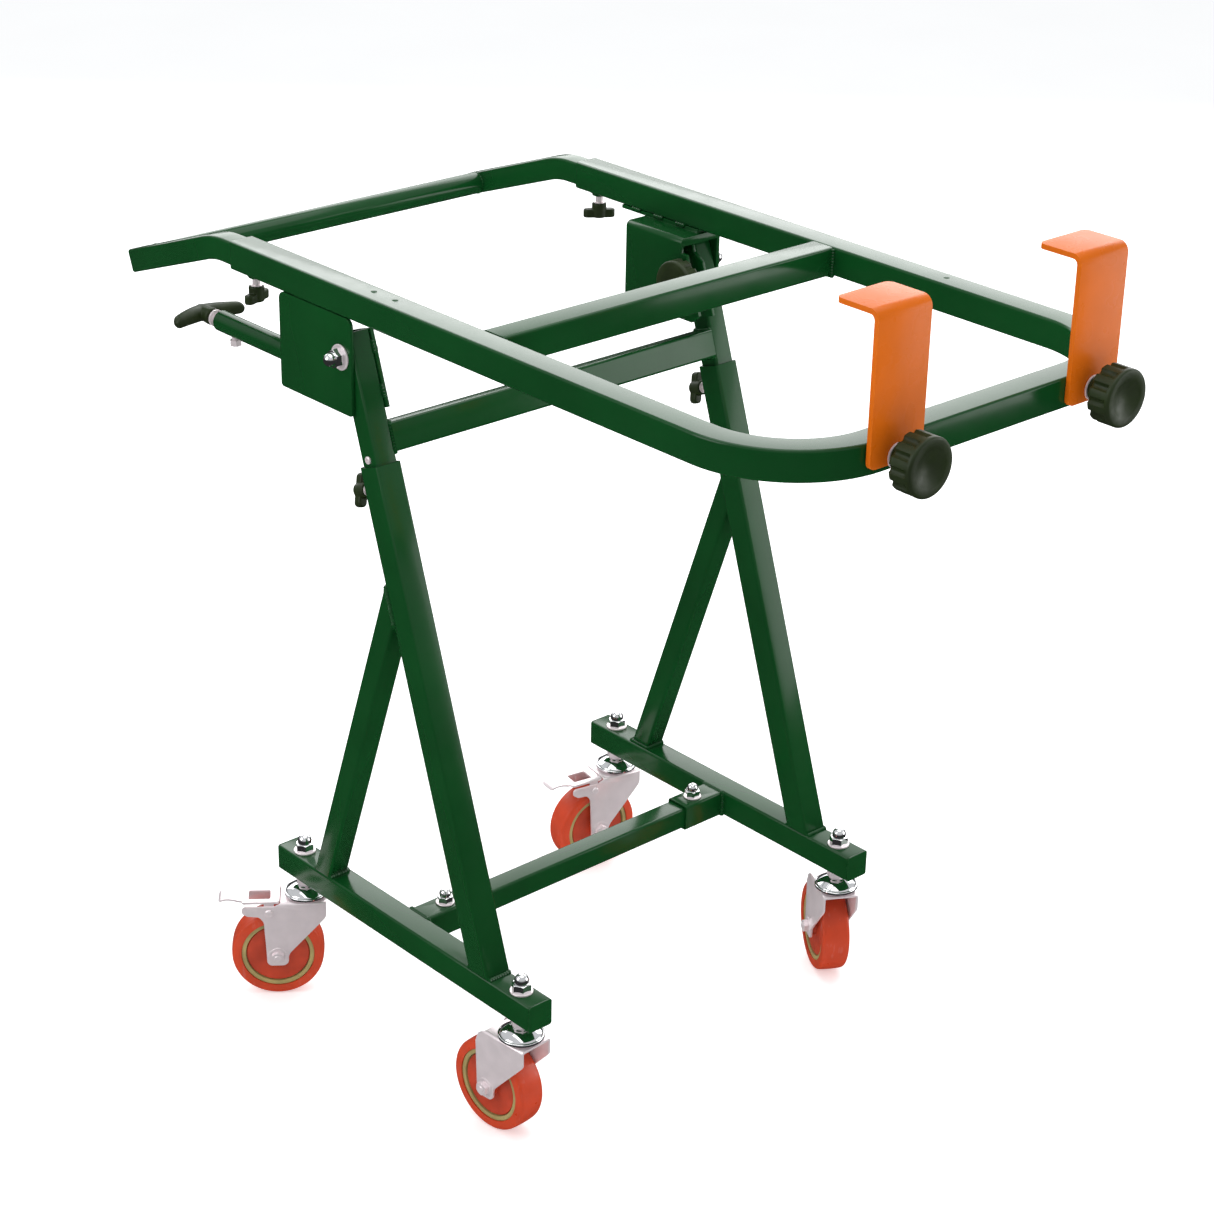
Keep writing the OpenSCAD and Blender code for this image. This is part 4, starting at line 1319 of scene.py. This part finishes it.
def large_knob(sizes, stud, hub_length, head_length):
    """Stud, steel washer, hub and fluted head, along z from the stud's tip."""
    hub = stud + 2 * MM
    start = hub + hub_length
    levels, radius, top = fluted_head(sizes, start, head_length)
    steps = 180
    rings = [
        [((radius(a, z) - inset) * math.cos(a), (radius(a, z) - inset) * math.sin(a), z)
         for a in turns(steps)]
        for inset, z in levels
    ]
    head = loft(rings + dished_face(top, sizes.large - 2.7 * MM, steps)[1:])
    base = lathe([(0, hub), (10.4 * MM, hub), (11 * MM, hub + 0.6 * MM), (11 * MM, start - 0.8 * MM),
                  (12 * MM, start + 0.2 * MM), (0, start + 0.2 * MM)], 56)
    rod = lathe([(0, 0), (4.3 * MM, 0), (5 * MM, 0.8 * MM), (5 * MM, hub + 1 * MM),
                 (0, hub + 1 * MM)], 40)
    return joined(coloured(head, "plastic"), coloured(base, "plastic"), coloured(rod, "zinc"),
                  coloured(washer(12 * MM, 4.9 * MM, 2 * MM, stud), "zinc"))


# How the wings of the small knobs stand: from the leg's axis, and from x under each rail
LEG_WINGS = math.radians(20)
RAIL_WINGS = {"right": math.radians(110), "left": math.radians(55)}


def facing(origin, axis, across):
    """Frame with its z along axis and its x along across."""
    return Matrix.Translation(origin) @ Matrix((across, axis.cross(across), axis)).transposed().to_4x4()


def knobs(sizes):
    for side in SIDES:
        leg = Leg(side)
        joint = JOINTS[f"{side}_leg_knob_turn"]
        along = (Vector(joint["pos_m"]) - leg.foot).dot(leg.up)
        tip = leg.at(along, -13.2 * MM)
        wings = leg.up * math.cos(LEG_WINGS) + Vector((0, math.sin(LEG_WINGS), 0))
        stand_in(placed(wing_knob(sizes, 16.5 * MM), facing(tip, -leg.front, wings)), None,
                 f"{side}_leg_knob")

        low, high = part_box(f"{side}_rail_knob")
        joint = Vector(JOINTS[f"{side}_rail_knob_turn"]["pos_m"])
        tip = Vector((joint.x, joint.y, high.z))
        turn = RAIL_WINGS[side]
        wings = Vector((math.cos(turn), math.sin(turn), 0))
        stand_in(placed(wing_knob(sizes, 15.5 * MM), facing(tip, Vector((0, 0, -1)), wings)), None,
                 f"{side}_rail_knob")

        low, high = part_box(f"{side}_hook_knob")
        joint = Vector(JOINTS[f"{side}_hook_knob_turn"]["pos_m"])
        stud = high.x - low.x - (24 + 13 + 2) * MM
        tip = Vector((low.x, joint.y, joint.z))
        stand_in(placed(large_knob(sizes, stud, 13 * MM, 24 * MM), axis_frame(tip, (1, 0, 0))), None,
                 f"{side}_hook_knob")

    low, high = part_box("tilt_clamp_knob")
    joint = Vector(JOINTS["tilt_clamp_knob_turn"]["pos_m"])
    stud = high.y - low.y - (16 + 1 + 2) * MM
    tip = Vector((joint.x, high.y, joint.z))
    stand_in(placed(large_knob(sizes, stud, 1 * MM, 16 * MM), axis_frame(tip, (0, -1, 0))), None,
             "tilt_clamp_knob")


# ---- tilt lock ----


def t_handle_mesh(low, high):
    """Swept arms, thick at the middle and slim at the tips, grown together with a long hub."""
    middle = (low + high) / 2
    rear = low.x
    rings = []
    reach = (high.y - low.y) / 2
    steps = 44
    for i in range(steps + 1):
        t = -1 + 2 * i / steps
        y = t * (reach - 0.2 * MM)
        wide = 6.2 * MM + 3.6 * MM * math.cos(t * math.pi / 2) ** 1.2
        thick = 6.2 * MM + 1.7 * MM * math.cos(t * math.pi / 2)
        tip = math.sqrt(max(0.0, 1 - max(0.0, (abs(y) - (reach - 5.5 * MM)) / (5.5 * MM)) ** 2))
        sweep = rear + 10 * MM + 13 * MM * abs(t) ** 1.5
        rings.append([
            (sweep + wide * tip * signed_power(math.cos(a), 0.8), middle.y + y,
             middle.z + thick * (0.25 + 0.75 * tip) * tip * signed_power(math.sin(a), 0.8))
            for a in turns(28)
        ])
    hub = lathe([(0, 0), (6.0 * MM, 0), (7.4 * MM, 1.0 * MM), (7.9 * MM, 3 * MM), (9.3 * MM, 25.4 * MM),
                 (8.6 * MM, 26.8 * MM), (0, 26.8 * MM)], 48)
    placed(hub, axis_frame((rear + 2.5 * MM, middle.y, middle.z), (1, 0, 0)))
    return modified(joined(loft(rings), hub), ("REMESH", {"mode": "VOXEL", "voxel_size": 0.7 * MM}),
                    ("SMOOTH", {"factor": 0.6, "iterations": 6}))


def signed_power(value, power):
    return math.copysign(abs(value) ** power, value)


def tilt_lock():
    low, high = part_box("t_handle")
    stand_in(t_handle_mesh(low, high), PAINTS["plastic"], "t_handle")

    low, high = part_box("lock_tube")
    middle = (low + high) / 2
    run = high.x - low.x
    outer = (high.z - low.z) / 2
    profile = [(5.1 * MM, 0.6 * MM), (7.6 * MM, 0.6 * MM), (8.2 * MM, 0), (outer - 0.6 * MM, 0),
               (outer, 0.6 * MM), (outer, run - 0.6 * MM), (outer - 0.6 * MM, run), (8.2 * MM, run),
               (7.6 * MM, run - 0.6 * MM), (5.1 * MM, run - 0.6 * MM), (5.1 * MM, run - 10 * MM),
               (9 * MM, run - 10 * MM), (9 * MM, 40 * MM), (5.1 * MM, 40 * MM)]
    tube_mesh = lathe(profile, 64, loop=True)
    placed(tube_mesh, axis_frame((low.x, middle.y, middle.z), (1, 0, 0)))
    stand_in(tube_mesh, PAINTS["green"], "lock_tube")

    low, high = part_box("lock_rod")
    run = high.x - low.x
    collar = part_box("lock_spring")[1].x - low.x
    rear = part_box("lock_tube")[0].x - low.x
    rod = lathe([(0, 0), (4.4 * MM, 0), (5 * MM, 0.8 * MM), (5 * MM, rear - 10.7 * MM),
                 (8.7 * MM, rear - 10.7 * MM), (9 * MM, rear - 10.4 * MM), (9 * MM, rear - 9.0 * MM),
                 (8.7 * MM, rear - 8.7 * MM), (5 * MM, rear - 8.7 * MM),
                 (5 * MM, collar + 0.5 * MM), (8.5 * MM, collar + 0.5 * MM),
                 (8.5 * MM, collar + 6.2 * MM), (5 * MM, collar + 6.2 * MM),
                 (5 * MM, run - 2.5 * MM), (3.6 * MM, run), (0, run)], 48)
    rod = placed(rod, axis_frame((low.x, middle.y, middle.z), (1, 0, 0)))
    stand_in(rod, PAINTS["zinc"], "lock_rod")

    low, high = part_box("lock_guide_bolt")
    middle = (low + high) / 2
    head = hex_head(11 * MM, 6.4 * MM)
    shank = lathe([(0, 5 * MM), (4 * MM, 5 * MM), (4 * MM, high.z - low.z), (0, high.z - low.z)], 36)
    stand_in(placed(joined(head, shank), Matrix.Translation((middle.x, middle.y, low.z))),
             PAINTS["zinc"], "lock_guide_bolt")

    low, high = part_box("lock_spring")
    middle = (low + high) / 2
    wire = 0.75 * MM
    seed = path_mesh([(0, 0, 0), (0, 0, 0.001)])
    coil = grown(seed, TREES["spring"], turns=8.0, radius=(high.z - low.z) / 2 - wire,
                 length=high.x - low.x - 2.4 * wire, wire=wire, material=PAINTS["zinc"])
    placed(coil, axis_frame((low.x + 1.2 * wire, middle.y, middle.z), (1, 0, 0)))
    stand_in(tidied(coil, 1e-7), None, "lock_spring")


# ---- casters ----


def fork_outline(braked):
    """Corners of a fork's side in x and z, from the crown's rear, in millimetres."""
    front = [(28, 118.5, 0), (34, 114, 4), (67.5, 114, 2), (70, 111.5, 2), (70, 106, 4),
             (64, 102.3, 4), (52, 101.4, 6), (46.5, 95, 10)]
    if not braked:
        front = [(34, 118.5, 0), (43, 112.5, 6), (46.5, 102, 8)]
    return front + [(44.5, 51, 11.8), (44.4, 39, 11.9), (20.6, 39, 11.9), (20.5, 53, 11.8),
                    (-22, 100, 10), (-22, 118.5, 0)]


def fork_mesh(sizes, braked):
    """Pressed fork: one sheet folded down on both sides of its crown."""
    outline = [p * MM for p in rounded(fork_outline(braked), 7)]
    half = 20 * MM
    work = bmesh.new()
    sides = [[work.verts.new((p[0], s * half, p[1])) for p in outline] for s in (-1, 1)]
    for verts in sides:
        work.faces.new(verts)
    rows = list(zip(*sides))
    work.faces.new((rows[-1][0], rows[0][0], rows[0][1], rows[-1][1]))
    bmesh.ops.recalc_face_normals(work, faces=work.faces)
    folds = [e for e in work.edges if len(e.link_faces) == 2]
    bmesh.ops.bevel(work, geom=folds, offset=sizes.fold, segments=6, profile=0.5, affect="EDGES")
    bmesh.ops.recalc_face_normals(work, faces=work.faces)
    mesh = bpy.data.meshes.new("fork")
    work.to_mesh(mesh)
    work.free()
    top = max(mesh.polygons, key=lambda face: face.center.z)
    if top.normal.z < 0:
        mesh.flip_normals()
    return modified(mesh, walled(sizes.sheet), edges_rounded(0.35 * MM, 2, 50))


def fork(name, sizes):
    braked = name in BRAKED
    body = [fork_mesh(sizes, braked)]
    hub_z = Vector(JOINTS[f"{name}_wheel_turn"]["pos_m"]).z
    trail = trail_of(name)
    boss = lathe([(0, -0.4 * MM), (10.6 * MM, -0.4 * MM), (10 * MM, 0.5 * MM), (8.8 * MM, 0.8 * MM),
                  (0, 0.8 * MM)], 48)
    head = lathe([(0, -1 * MM), (4.6 * MM, -1 * MM), (4.6 * MM, 0.3 * MM), (4.2 * MM, 1.3 * MM),
                  (3.0 * MM, 2.0 * MM), (1.4 * MM, 2.3 * MM), (0, 2.4 * MM)], 32)
    sides = [(Vector((trail, s * 20 * MM, hub_z)), (0, s, 0)) for s in (-1, 1)]
    body.append(copies(boss, sides, PAINTS["zinc"]))
    if braked:
        pins = [(Vector((40.6 * MM, s * 20 * MM, 106 * MM)), (0, s, 0)) for s in (-1, 1)]
        body.append(copies(head, pins, PAINTS["zinc"]))
    mesh = joined(*[coloured(m, "zinc") for m in body])
    stand_in(placed(mesh, caster_frame(name)), None, f"{name}_fork")


def trail_of(name):
    stem = Vector(JOINTS[f"{name}_swivel"]["pos_m"])
    hub = Vector(JOINTS[f"{name}_wheel_turn"]["pos_m"])
    return (hub - stem).xy.length


def axle(name):
    trail = trail_of(name)
    hub_z = Vector(JOINTS[f"{name}_wheel_turn"]["pos_m"]).z
    outer = 20.6 * MM
    head = hex_head(13 * MM, 4.4 * MM)
    nut = hex_head(13 * MM, 5.4 * MM)
    rod = lathe([(0, 0), (3.4 * MM, 0), (4 * MM, 0.6 * MM), (4 * MM, 48 * MM), (0, 48 * MM)], 36)
    bush = lathe([(3.9 * MM, -17.4 * MM), (6 * MM, -17.4 * MM), (6 * MM, 17.4 * MM),
                  (3.9 * MM, 17.4 * MM)], 36, loop=True)
    at = Vector((trail, 0, hub_z))
    parts = [
        placed(head, axis_frame(at + Vector((0, -outer, 0)), (0, -1, 0))),
        placed(nut, axis_frame(at + Vector((0, outer, 0)), (0, 1, 0))),
        placed(rod, axis_frame(at + Vector((0, 27 * MM, 0)), (0, -1, 0))),
        placed(bush, axis_frame(at, (0, 1, 0))),
    ]
    mesh = joined(*[coloured(m, "zinc") for m in parts])
    stand_in(placed(mesh, caster_frame(name)), None, f"{name}_axle")


def wheel(name, sizes):
    hub = Vector(JOINTS[f"{name}_wheel_turn"]["pos_m"])
    turn = axis_frame(hub, JOINTS[f"{name}_wheel_turn"]["axis"])
    radius = hub.z
    rim = 40.05 * MM
    half = 15.5 * MM
    soft = sizes.shoulder
    crown = sizes.crown
    profile = [(rim, -half + 0.3 * MM), (rim + 0.8 * MM, -half), (45 * MM, -half)]
    profile += [
        (radius - crown - soft * (1 - math.sin(a)), -half + soft * (1 - math.cos(a)))
        for a in spread_angles(7)
    ]
    for i in range(1, 12):
        t = -1 + i / 6
        profile.append((radius - crown * t * t, (half - soft) * t))
    profile += [(r, -z) for r, z in reversed(profile[:11])]
    stand_in(placed(lathe(profile, 144, loop=True), turn), PAINTS["tread"], f"{name}_tyre")

    ring = 40 - sizes.rim / MM
    corners = [(6.1, -16.8, 0.4), (11, -16.8, 0.8), (11.4, -12.5, 0.6), (34, -12.5, 0.6),
               (34.1, -10.5, 0.2), (ring - 0.1, -10.5, 0.2), (ring, -14, 0.7), (39.9, -14, 0.5),
               (39.9, 14, 0.5), (ring, 14, 0.7), (ring - 0.1, 10.5, 0.2), (34.1, 10.5, 0.2),
               (34, 12.5, 0.6), (11.4, 12.5, 0.6), (11, 16.8, 0.8), (6.1, 16.8, 0.4)]
    outline = [(p[0] * MM, p[1] * MM) for p in rounded(corners, 5)]
    core = lathe(outline, 112, loop=True)
    core.materials.append(PAINTS["rim"])
    core.materials.append(PAINTS["centre"])
    edge = (ring - 0.4) * MM
    for face in core.polygons:
        face.material_index = 0 if face.center.xy.length > edge else 1
    stand_in(placed(core, turn), None, f"{name}_core")


def pedal_mesh():
    """Brake pedal: windowed plate, curved tongue for the foot and an ear on each side."""
    outer = [p * MM for p in rounded([(29, -17, 2.5), (70, -17, 3), (70, 17, 3), (29, 17, 2.5)], 6)]
    inner = [p * MM for p in rounded([(39, -9, 2), (63, -9, 2), (63, 9, 2), (39, 9, 2)], 6)]
    plate = placed(slab(outer, 2.5 * MM, inner), Matrix.Translation((0, 0, 116 * MM)))
    line = [(68.0, 118.42), (72, 118.6), (76, 119.6), (80, 120.9), (85, 121.4), (90, 120.9),
            (94, 118.9), (96, 116.0)]
    widths = [13, 13, 13, 13, 12.9, 12.5, 11.6, 9.5]
    work = bmesh.new()
    rows = [
        [work.verts.new((x * MM, w * s * MM, z * MM)) for s in (-1, -0.5, 0, 0.5, 1)]
        for (x, z), w in zip(line, widths)
    ]
    for a, b in zip(rows, rows[1:]):
        for i in range(4):
            work.faces.new((a[i], b[i], b[i + 1], a[i + 1]))
    tongue = bpy.data.meshes.new("tongue")
    work.to_mesh(tongue)
    work.free()
    if tongue.polygons[0].normal.z < 0:
        tongue.flip_normals()
    tongue = modified(tongue, ("SUBSURF", {"levels": 2, "render_levels": 2}), walled(2.2 * MM),
                      edges_rounded(0.35 * MM, 2, 50))
    ear = [p * MM for p in rounded([(35.1, 117, 0), (35.1, 106, 5), (36.5, 100.5, 5), (44.7, 100.5, 5),
                                    (46.1, 106, 5), (46.1, 117, 0)], 6)]
    ears = []
    for y in (-17 * MM, 15.9 * MM):
        side = slab(ear, 1.1 * MM, edge=0.2 * MM)
        turn = Matrix.Translation((0, y + 1.1 * MM, 0)) @ Matrix.Rotation(math.pi / 2, 4, "X")
        ears.append(placed(side, turn))
    return joined(*[coloured(m, "zinc") for m in (plate, tongue, *ears)])


def caps_and_stems():
    """Domed caps, bearings and stems, one piece for each CAD node."""
    low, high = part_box("caster_caps")
    base = low.z
    stems = [Vector(JOINTS[f"{name}_swivel"]["pos_m"]) for name in CASTERS]
    at = [(Vector((p.x, p.y, base)), (0, 0, 1)) for p in stems]
    dome = [(24 * MM, 0.4 * MM), (24 * MM, 2.2 * MM), (23.6 * MM, 2.8 * MM), (22.9 * MM, 3.1 * MM),
            (22.3 * MM, 3.25 * MM)]
    dome += [(r * MM, (math.sqrt(34 ** 2 - r ** 2) - 22) * MM) for r in range(22, 9, -1)]
    dome += [(9.4 * MM, 11.1 * MM), (8.4 * MM, 11.6 * MM), (7.0 * MM, 11.95 * MM), (6.1 * MM, 12 * MM)]
    profile = [(6.1 * MM, 0), (23.6 * MM, 0)] + dome
    fastened("caster_caps", (), ((lathe(profile, 96, loop=True), at, "chrome"),))

    low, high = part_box("caster_stems")
    at = [(Vector((p.x, p.y, low.z)), (0, 0, 1)) for p in stems]
    rod = [(0, 0), (7 * MM, 0), (9.4 * MM, 0.6 * MM), (10 * MM, 1.6 * MM), (10 * MM, 2.6 * MM),
           (6 * MM, 2.6 * MM), (6 * MM, high.z - low.z - 1 * MM), (5.2 * MM, high.z - low.z),
           (0, high.z - low.z)]
    fastened("caster_stems", (), ((lathe(rod, 40), at, "zinc"),))

    low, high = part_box("caster_bearings")
    at = [(Vector((p.x, p.y, low.z)), (0, 0, 1)) for p in stems]
    race = washer(20 * MM, 9 * MM, high.z - low.z)
    fastened("caster_bearings", (), ((race, at, "zinc"),))


def casters(sizes):
    for name in CASTERS:
        fork(name, sizes)
        axle(name)
        wheel(name, sizes)
    for name in BRAKED:
        stand_in(placed(pedal_mesh(), caster_frame(name)), None, f"{name}_pedal")
    caps_and_stems()


# ---- stage ----


def make_floor(half, material):
    """Pale floor, a flat grid so that it isn't a bare quad."""
    work = bmesh.new()
    bmesh.ops.create_grid(work, x_segments=8, y_segments=8, size=half)
    mesh = bpy.data.meshes.new("floor")
    work.to_mesh(mesh)
    work.free()
    mesh.materials.append(material)
    obj = bpy.data.objects.new("floor", mesh)
    bpy.context.scene.collection.objects.link(obj)
    obj.visible_glossy = False


def softbox(name, place, aim, width, height, watts):
    light = bpy.data.lights.new(name, "AREA")
    light.shape = "RECTANGLE"
    light.size = width
    light.size_y = height
    light.energy = watts
    obj = bpy.data.objects.new(name, light)
    bpy.context.scene.collection.objects.link(obj)
    obj.location = place
    obj.rotation_euler = (Vector(place) - Vector(aim)).to_track_quat("Z", "Y").to_euler()


def stage(sizes, colours):
    material, tree, shader, coords = surface(
        "floor", tuple(colours.floor), 0.85,
        fixed={"Emission Color": (1, 1, 1, 1), "Emission Strength": 0.42, "Specular IOR Level": 0.2},
    )
    tone = ranged(tree, noise(tree, coords, 3.0, 4.0), 0.3, 0.7, 0.0, 1.0)
    tree.links.new(
        mixed(tree, tone, lighter(colours.floor, 0.985), lighter(colours.floor, 1.01)),
        shader.inputs["Base Color"],
    )
    make_floor(sizes.floor, material)

    world = bpy.data.worlds.new("studio")
    world.use_nodes = True
    sky = world.node_tree
    way = sky.nodes.new("ShaderNodeTexCoord").outputs["Generated"]
    height = node(sky, "ShaderNodeSeparateXYZ", in_0=way).outputs["Z"]
    glow = ranged(sky, height, -0.05, 0.40, 0.03, 0.66)
    sky.nodes["Background"].inputs["Color"].default_value = (0.96, 0.98, 1.0, 1)
    sky.links.new(glow, sky.nodes["Background"].inputs["Strength"])
    bpy.context.scene.world = world

    back = Vector((
        math.cos(sizes.elevation) * math.cos(sizes.azimuth),
        math.cos(sizes.elevation) * math.sin(sizes.azimuth),
        math.sin(sizes.elevation),
    ))
    across = Vector((0, 0, 1)).cross(back).normalized()
    up = back.cross(across)
    aim = Vector((0, 0, 0.5))
    softbox("overhead box", (0.0, 0.2, 2.7), aim, 2.2, 2.2, 26)
    softbox("side box", aim + across * -2.4 + back * 1.2 + Vector((0, 0, 0.9)), aim, 1.4, 2.0, 22)
    softbox("front box", aim + across * 2.9 - back * 0.3 + Vector((0, 0, 0.45)), aim, 1.6, 1.7, 24)
    softbox("rear wall", aim - back * 3.4 + Vector((0, 0, 2.9)), aim, 6.5, 2.4, 120)

    camera = bpy.data.cameras.new("camera")
    camera.sensor_width = 36
    camera.lens = sizes.lens
    obj = bpy.data.objects.new("camera", camera)
    bpy.context.scene.collection.objects.link(obj)
    bpy.context.scene.camera = obj
    right = across * math.cos(sizes.roll) + up * math.sin(sizes.roll)
    top = up * math.cos(sizes.roll) - across * math.sin(sizes.roll)
    turn = Matrix((right, top, back)).transposed().to_4x4()
    obj.matrix_world = Matrix.Translation(Vector(sizes.camera_at)) @ turn
    bpy.context.scene.view_settings.view_transform = "Standard"


# ---- operators ----


class CART_OT_finishes(bpy.types.Operator):
    """Makes the node trees and the finishes that the pieces share"""
    bl_idname = "cart.finishes"
    bl_label = "Finishes"

    def execute(self, context):
        TREES.update(tube=tube_tree(), weld=weld_tree(), copies=copies_tree(), spring=spring_tree())
        make_paints(context.scene.cart_colours)
        for name, obj in frame["nodes"].items():
            obj.data.materials.clear()
            obj.data.materials.append(PAINTS[SLOT_PAINT[SLOTS[name]]])
        return {"FINISHED"}


class CART_OT_stage(bpy.types.Operator):
    """Makes the floor, the studio lights and the camera"""
    bl_idname = "cart.stage"
    bl_label = "Stage"

    def execute(self, context):
        stage(context.scene.cart_stage, context.scene.cart_colours)
        return {"FINISHED"}


class CART_OT_base_tubes(bpy.types.Operator):
    """Makes the welded base: beams, legs, braces and the cross tube"""
    bl_idname = "cart.base_tubes"
    bl_label = "Base tubes"

    def execute(self, context):
        base_tubes(context.scene.cart_tubes)
        return {"FINISHED"}


class CART_OT_upper_tubes(bpy.types.Operator):
    """Makes the sliding upper legs and their cross bar"""
    bl_idname = "cart.upper_tubes"
    bl_label = "Upper tubes"

    def execute(self, context):
        upper_tubes(context.scene.cart_tubes)
        return {"FINISHED"}


class CART_OT_table_tubes(bpy.types.Operator):
    """Makes the bent table frame and its cross bar"""
    bl_idname = "cart.table_tubes"
    bl_label = "Table tubes"

    def execute(self, context):
        table_tubes(context.scene.cart_tubes)
        return {"FINISHED"}


class CART_OT_handle_tubes(bpy.types.Operator):
    """Makes the push handle's arms and bar"""
    bl_idname = "cart.handle_tubes"
    bl_label = "Handle tubes"

    def execute(self, context):
        handle_tubes(context.scene.cart_tubes)
        return {"FINISHED"}


class CART_OT_plates(bpy.types.Operator):
    """Makes the brackets, side plates, sleeves and end plugs"""
    bl_idname = "cart.plates"
    bl_label = "Plates"

    def execute(self, context):
        plates(context.scene.cart_plates)
        return {"FINISHED"}


class CART_OT_hooks(bpy.types.Operator):
    """Makes the two bent hooks"""
    bl_idname = "cart.hooks"
    bl_label = "Hooks"

    def execute(self, context):
        hooks(context.scene.cart_plates)
        return {"FINISHED"}


class CART_OT_welds(bpy.types.Operator):
    """Lays the weld beads"""
    bl_idname = "cart.welds"
    bl_label = "Welds"

    def execute(self, context):
        welds(context.scene.cart_welds)
        return {"FINISHED"}


class CART_OT_fasteners(bpy.types.Operator):
    """Makes the nuts, washers, bolts, stop screws and rail rivets"""
    bl_idname = "cart.fasteners"
    bl_label = "Fasteners"

    def execute(self, context):
        fasteners()
        head, places = rivets(context.scene.cart_plates)
        mesh = copies(head, places, PAINTS["green"])
        piece("rail_rivets", mesh, None, "table", "green_paint")
        return {"FINISHED"}


class CART_OT_knobs(bpy.types.Operator):
    """Makes the lobed and the fluted clamp knobs"""
    bl_idname = "cart.knobs"
    bl_label = "Knobs"

    def execute(self, context):
        knobs(context.scene.cart_knobs)
        return {"FINISHED"}


class CART_OT_tilt_lock(bpy.types.Operator):
    """Makes the tilt lock: tube, rod, spring, guide bolt and T-handle"""
    bl_idname = "cart.tilt_lock"
    bl_label = "Tilt lock"

    def execute(self, context):
        tilt_lock()
        return {"FINISHED"}


class CART_OT_casters(bpy.types.Operator):
    """Makes the four casters"""
    bl_idname = "cart.casters"
    bl_label = "Casters"

    def execute(self, context):
        casters(context.scene.cart_casters)
        return {"FINISHED"}


OPERATORS = (
    CART_OT_stage, CART_OT_finishes, CART_OT_base_tubes, CART_OT_upper_tubes, CART_OT_table_tubes,
    CART_OT_handle_tubes, CART_OT_plates, CART_OT_hooks, CART_OT_welds, CART_OT_fasteners,
    CART_OT_knobs, CART_OT_tilt_lock, CART_OT_casters,
)


class CART_PT_build(bpy.types.Panel):
    """Lists the pieces of the cart in the order they are made"""
    bl_idname = "CART_PT_build"
    bl_label = "Panel Cart"
    bl_space_type = "VIEW_3D"
    bl_region_type = "UI"
    bl_category = "Panel Cart"

    def draw(self, context):
        for operator in OPERATORS:
            self.layout.operator(operator.bl_idname)


def register():
    for group in GROUPS.values():
        bpy.utils.register_class(group)
    for name, group in GROUPS.items():
        setattr(bpy.types.Scene, name, PointerProperty(type=group))
    for item in (*OPERATORS, CART_PT_build):
        bpy.utils.register_class(item)


def unregister():
    for item in (CART_PT_build, *reversed(OPERATORS)):
        bpy.utils.unregister_class(item)
    for name in GROUPS:
        delattr(bpy.types.Scene, name)
    for group in reversed(GROUPS.values()):
        bpy.utils.unregister_class(group)


def main():
    register()
    for operator in OPERATORS:
        group, name = operator.bl_idname.split(".")
        getattr(getattr(bpy.ops, group), name)()


if __name__ == "__main__":
    main()
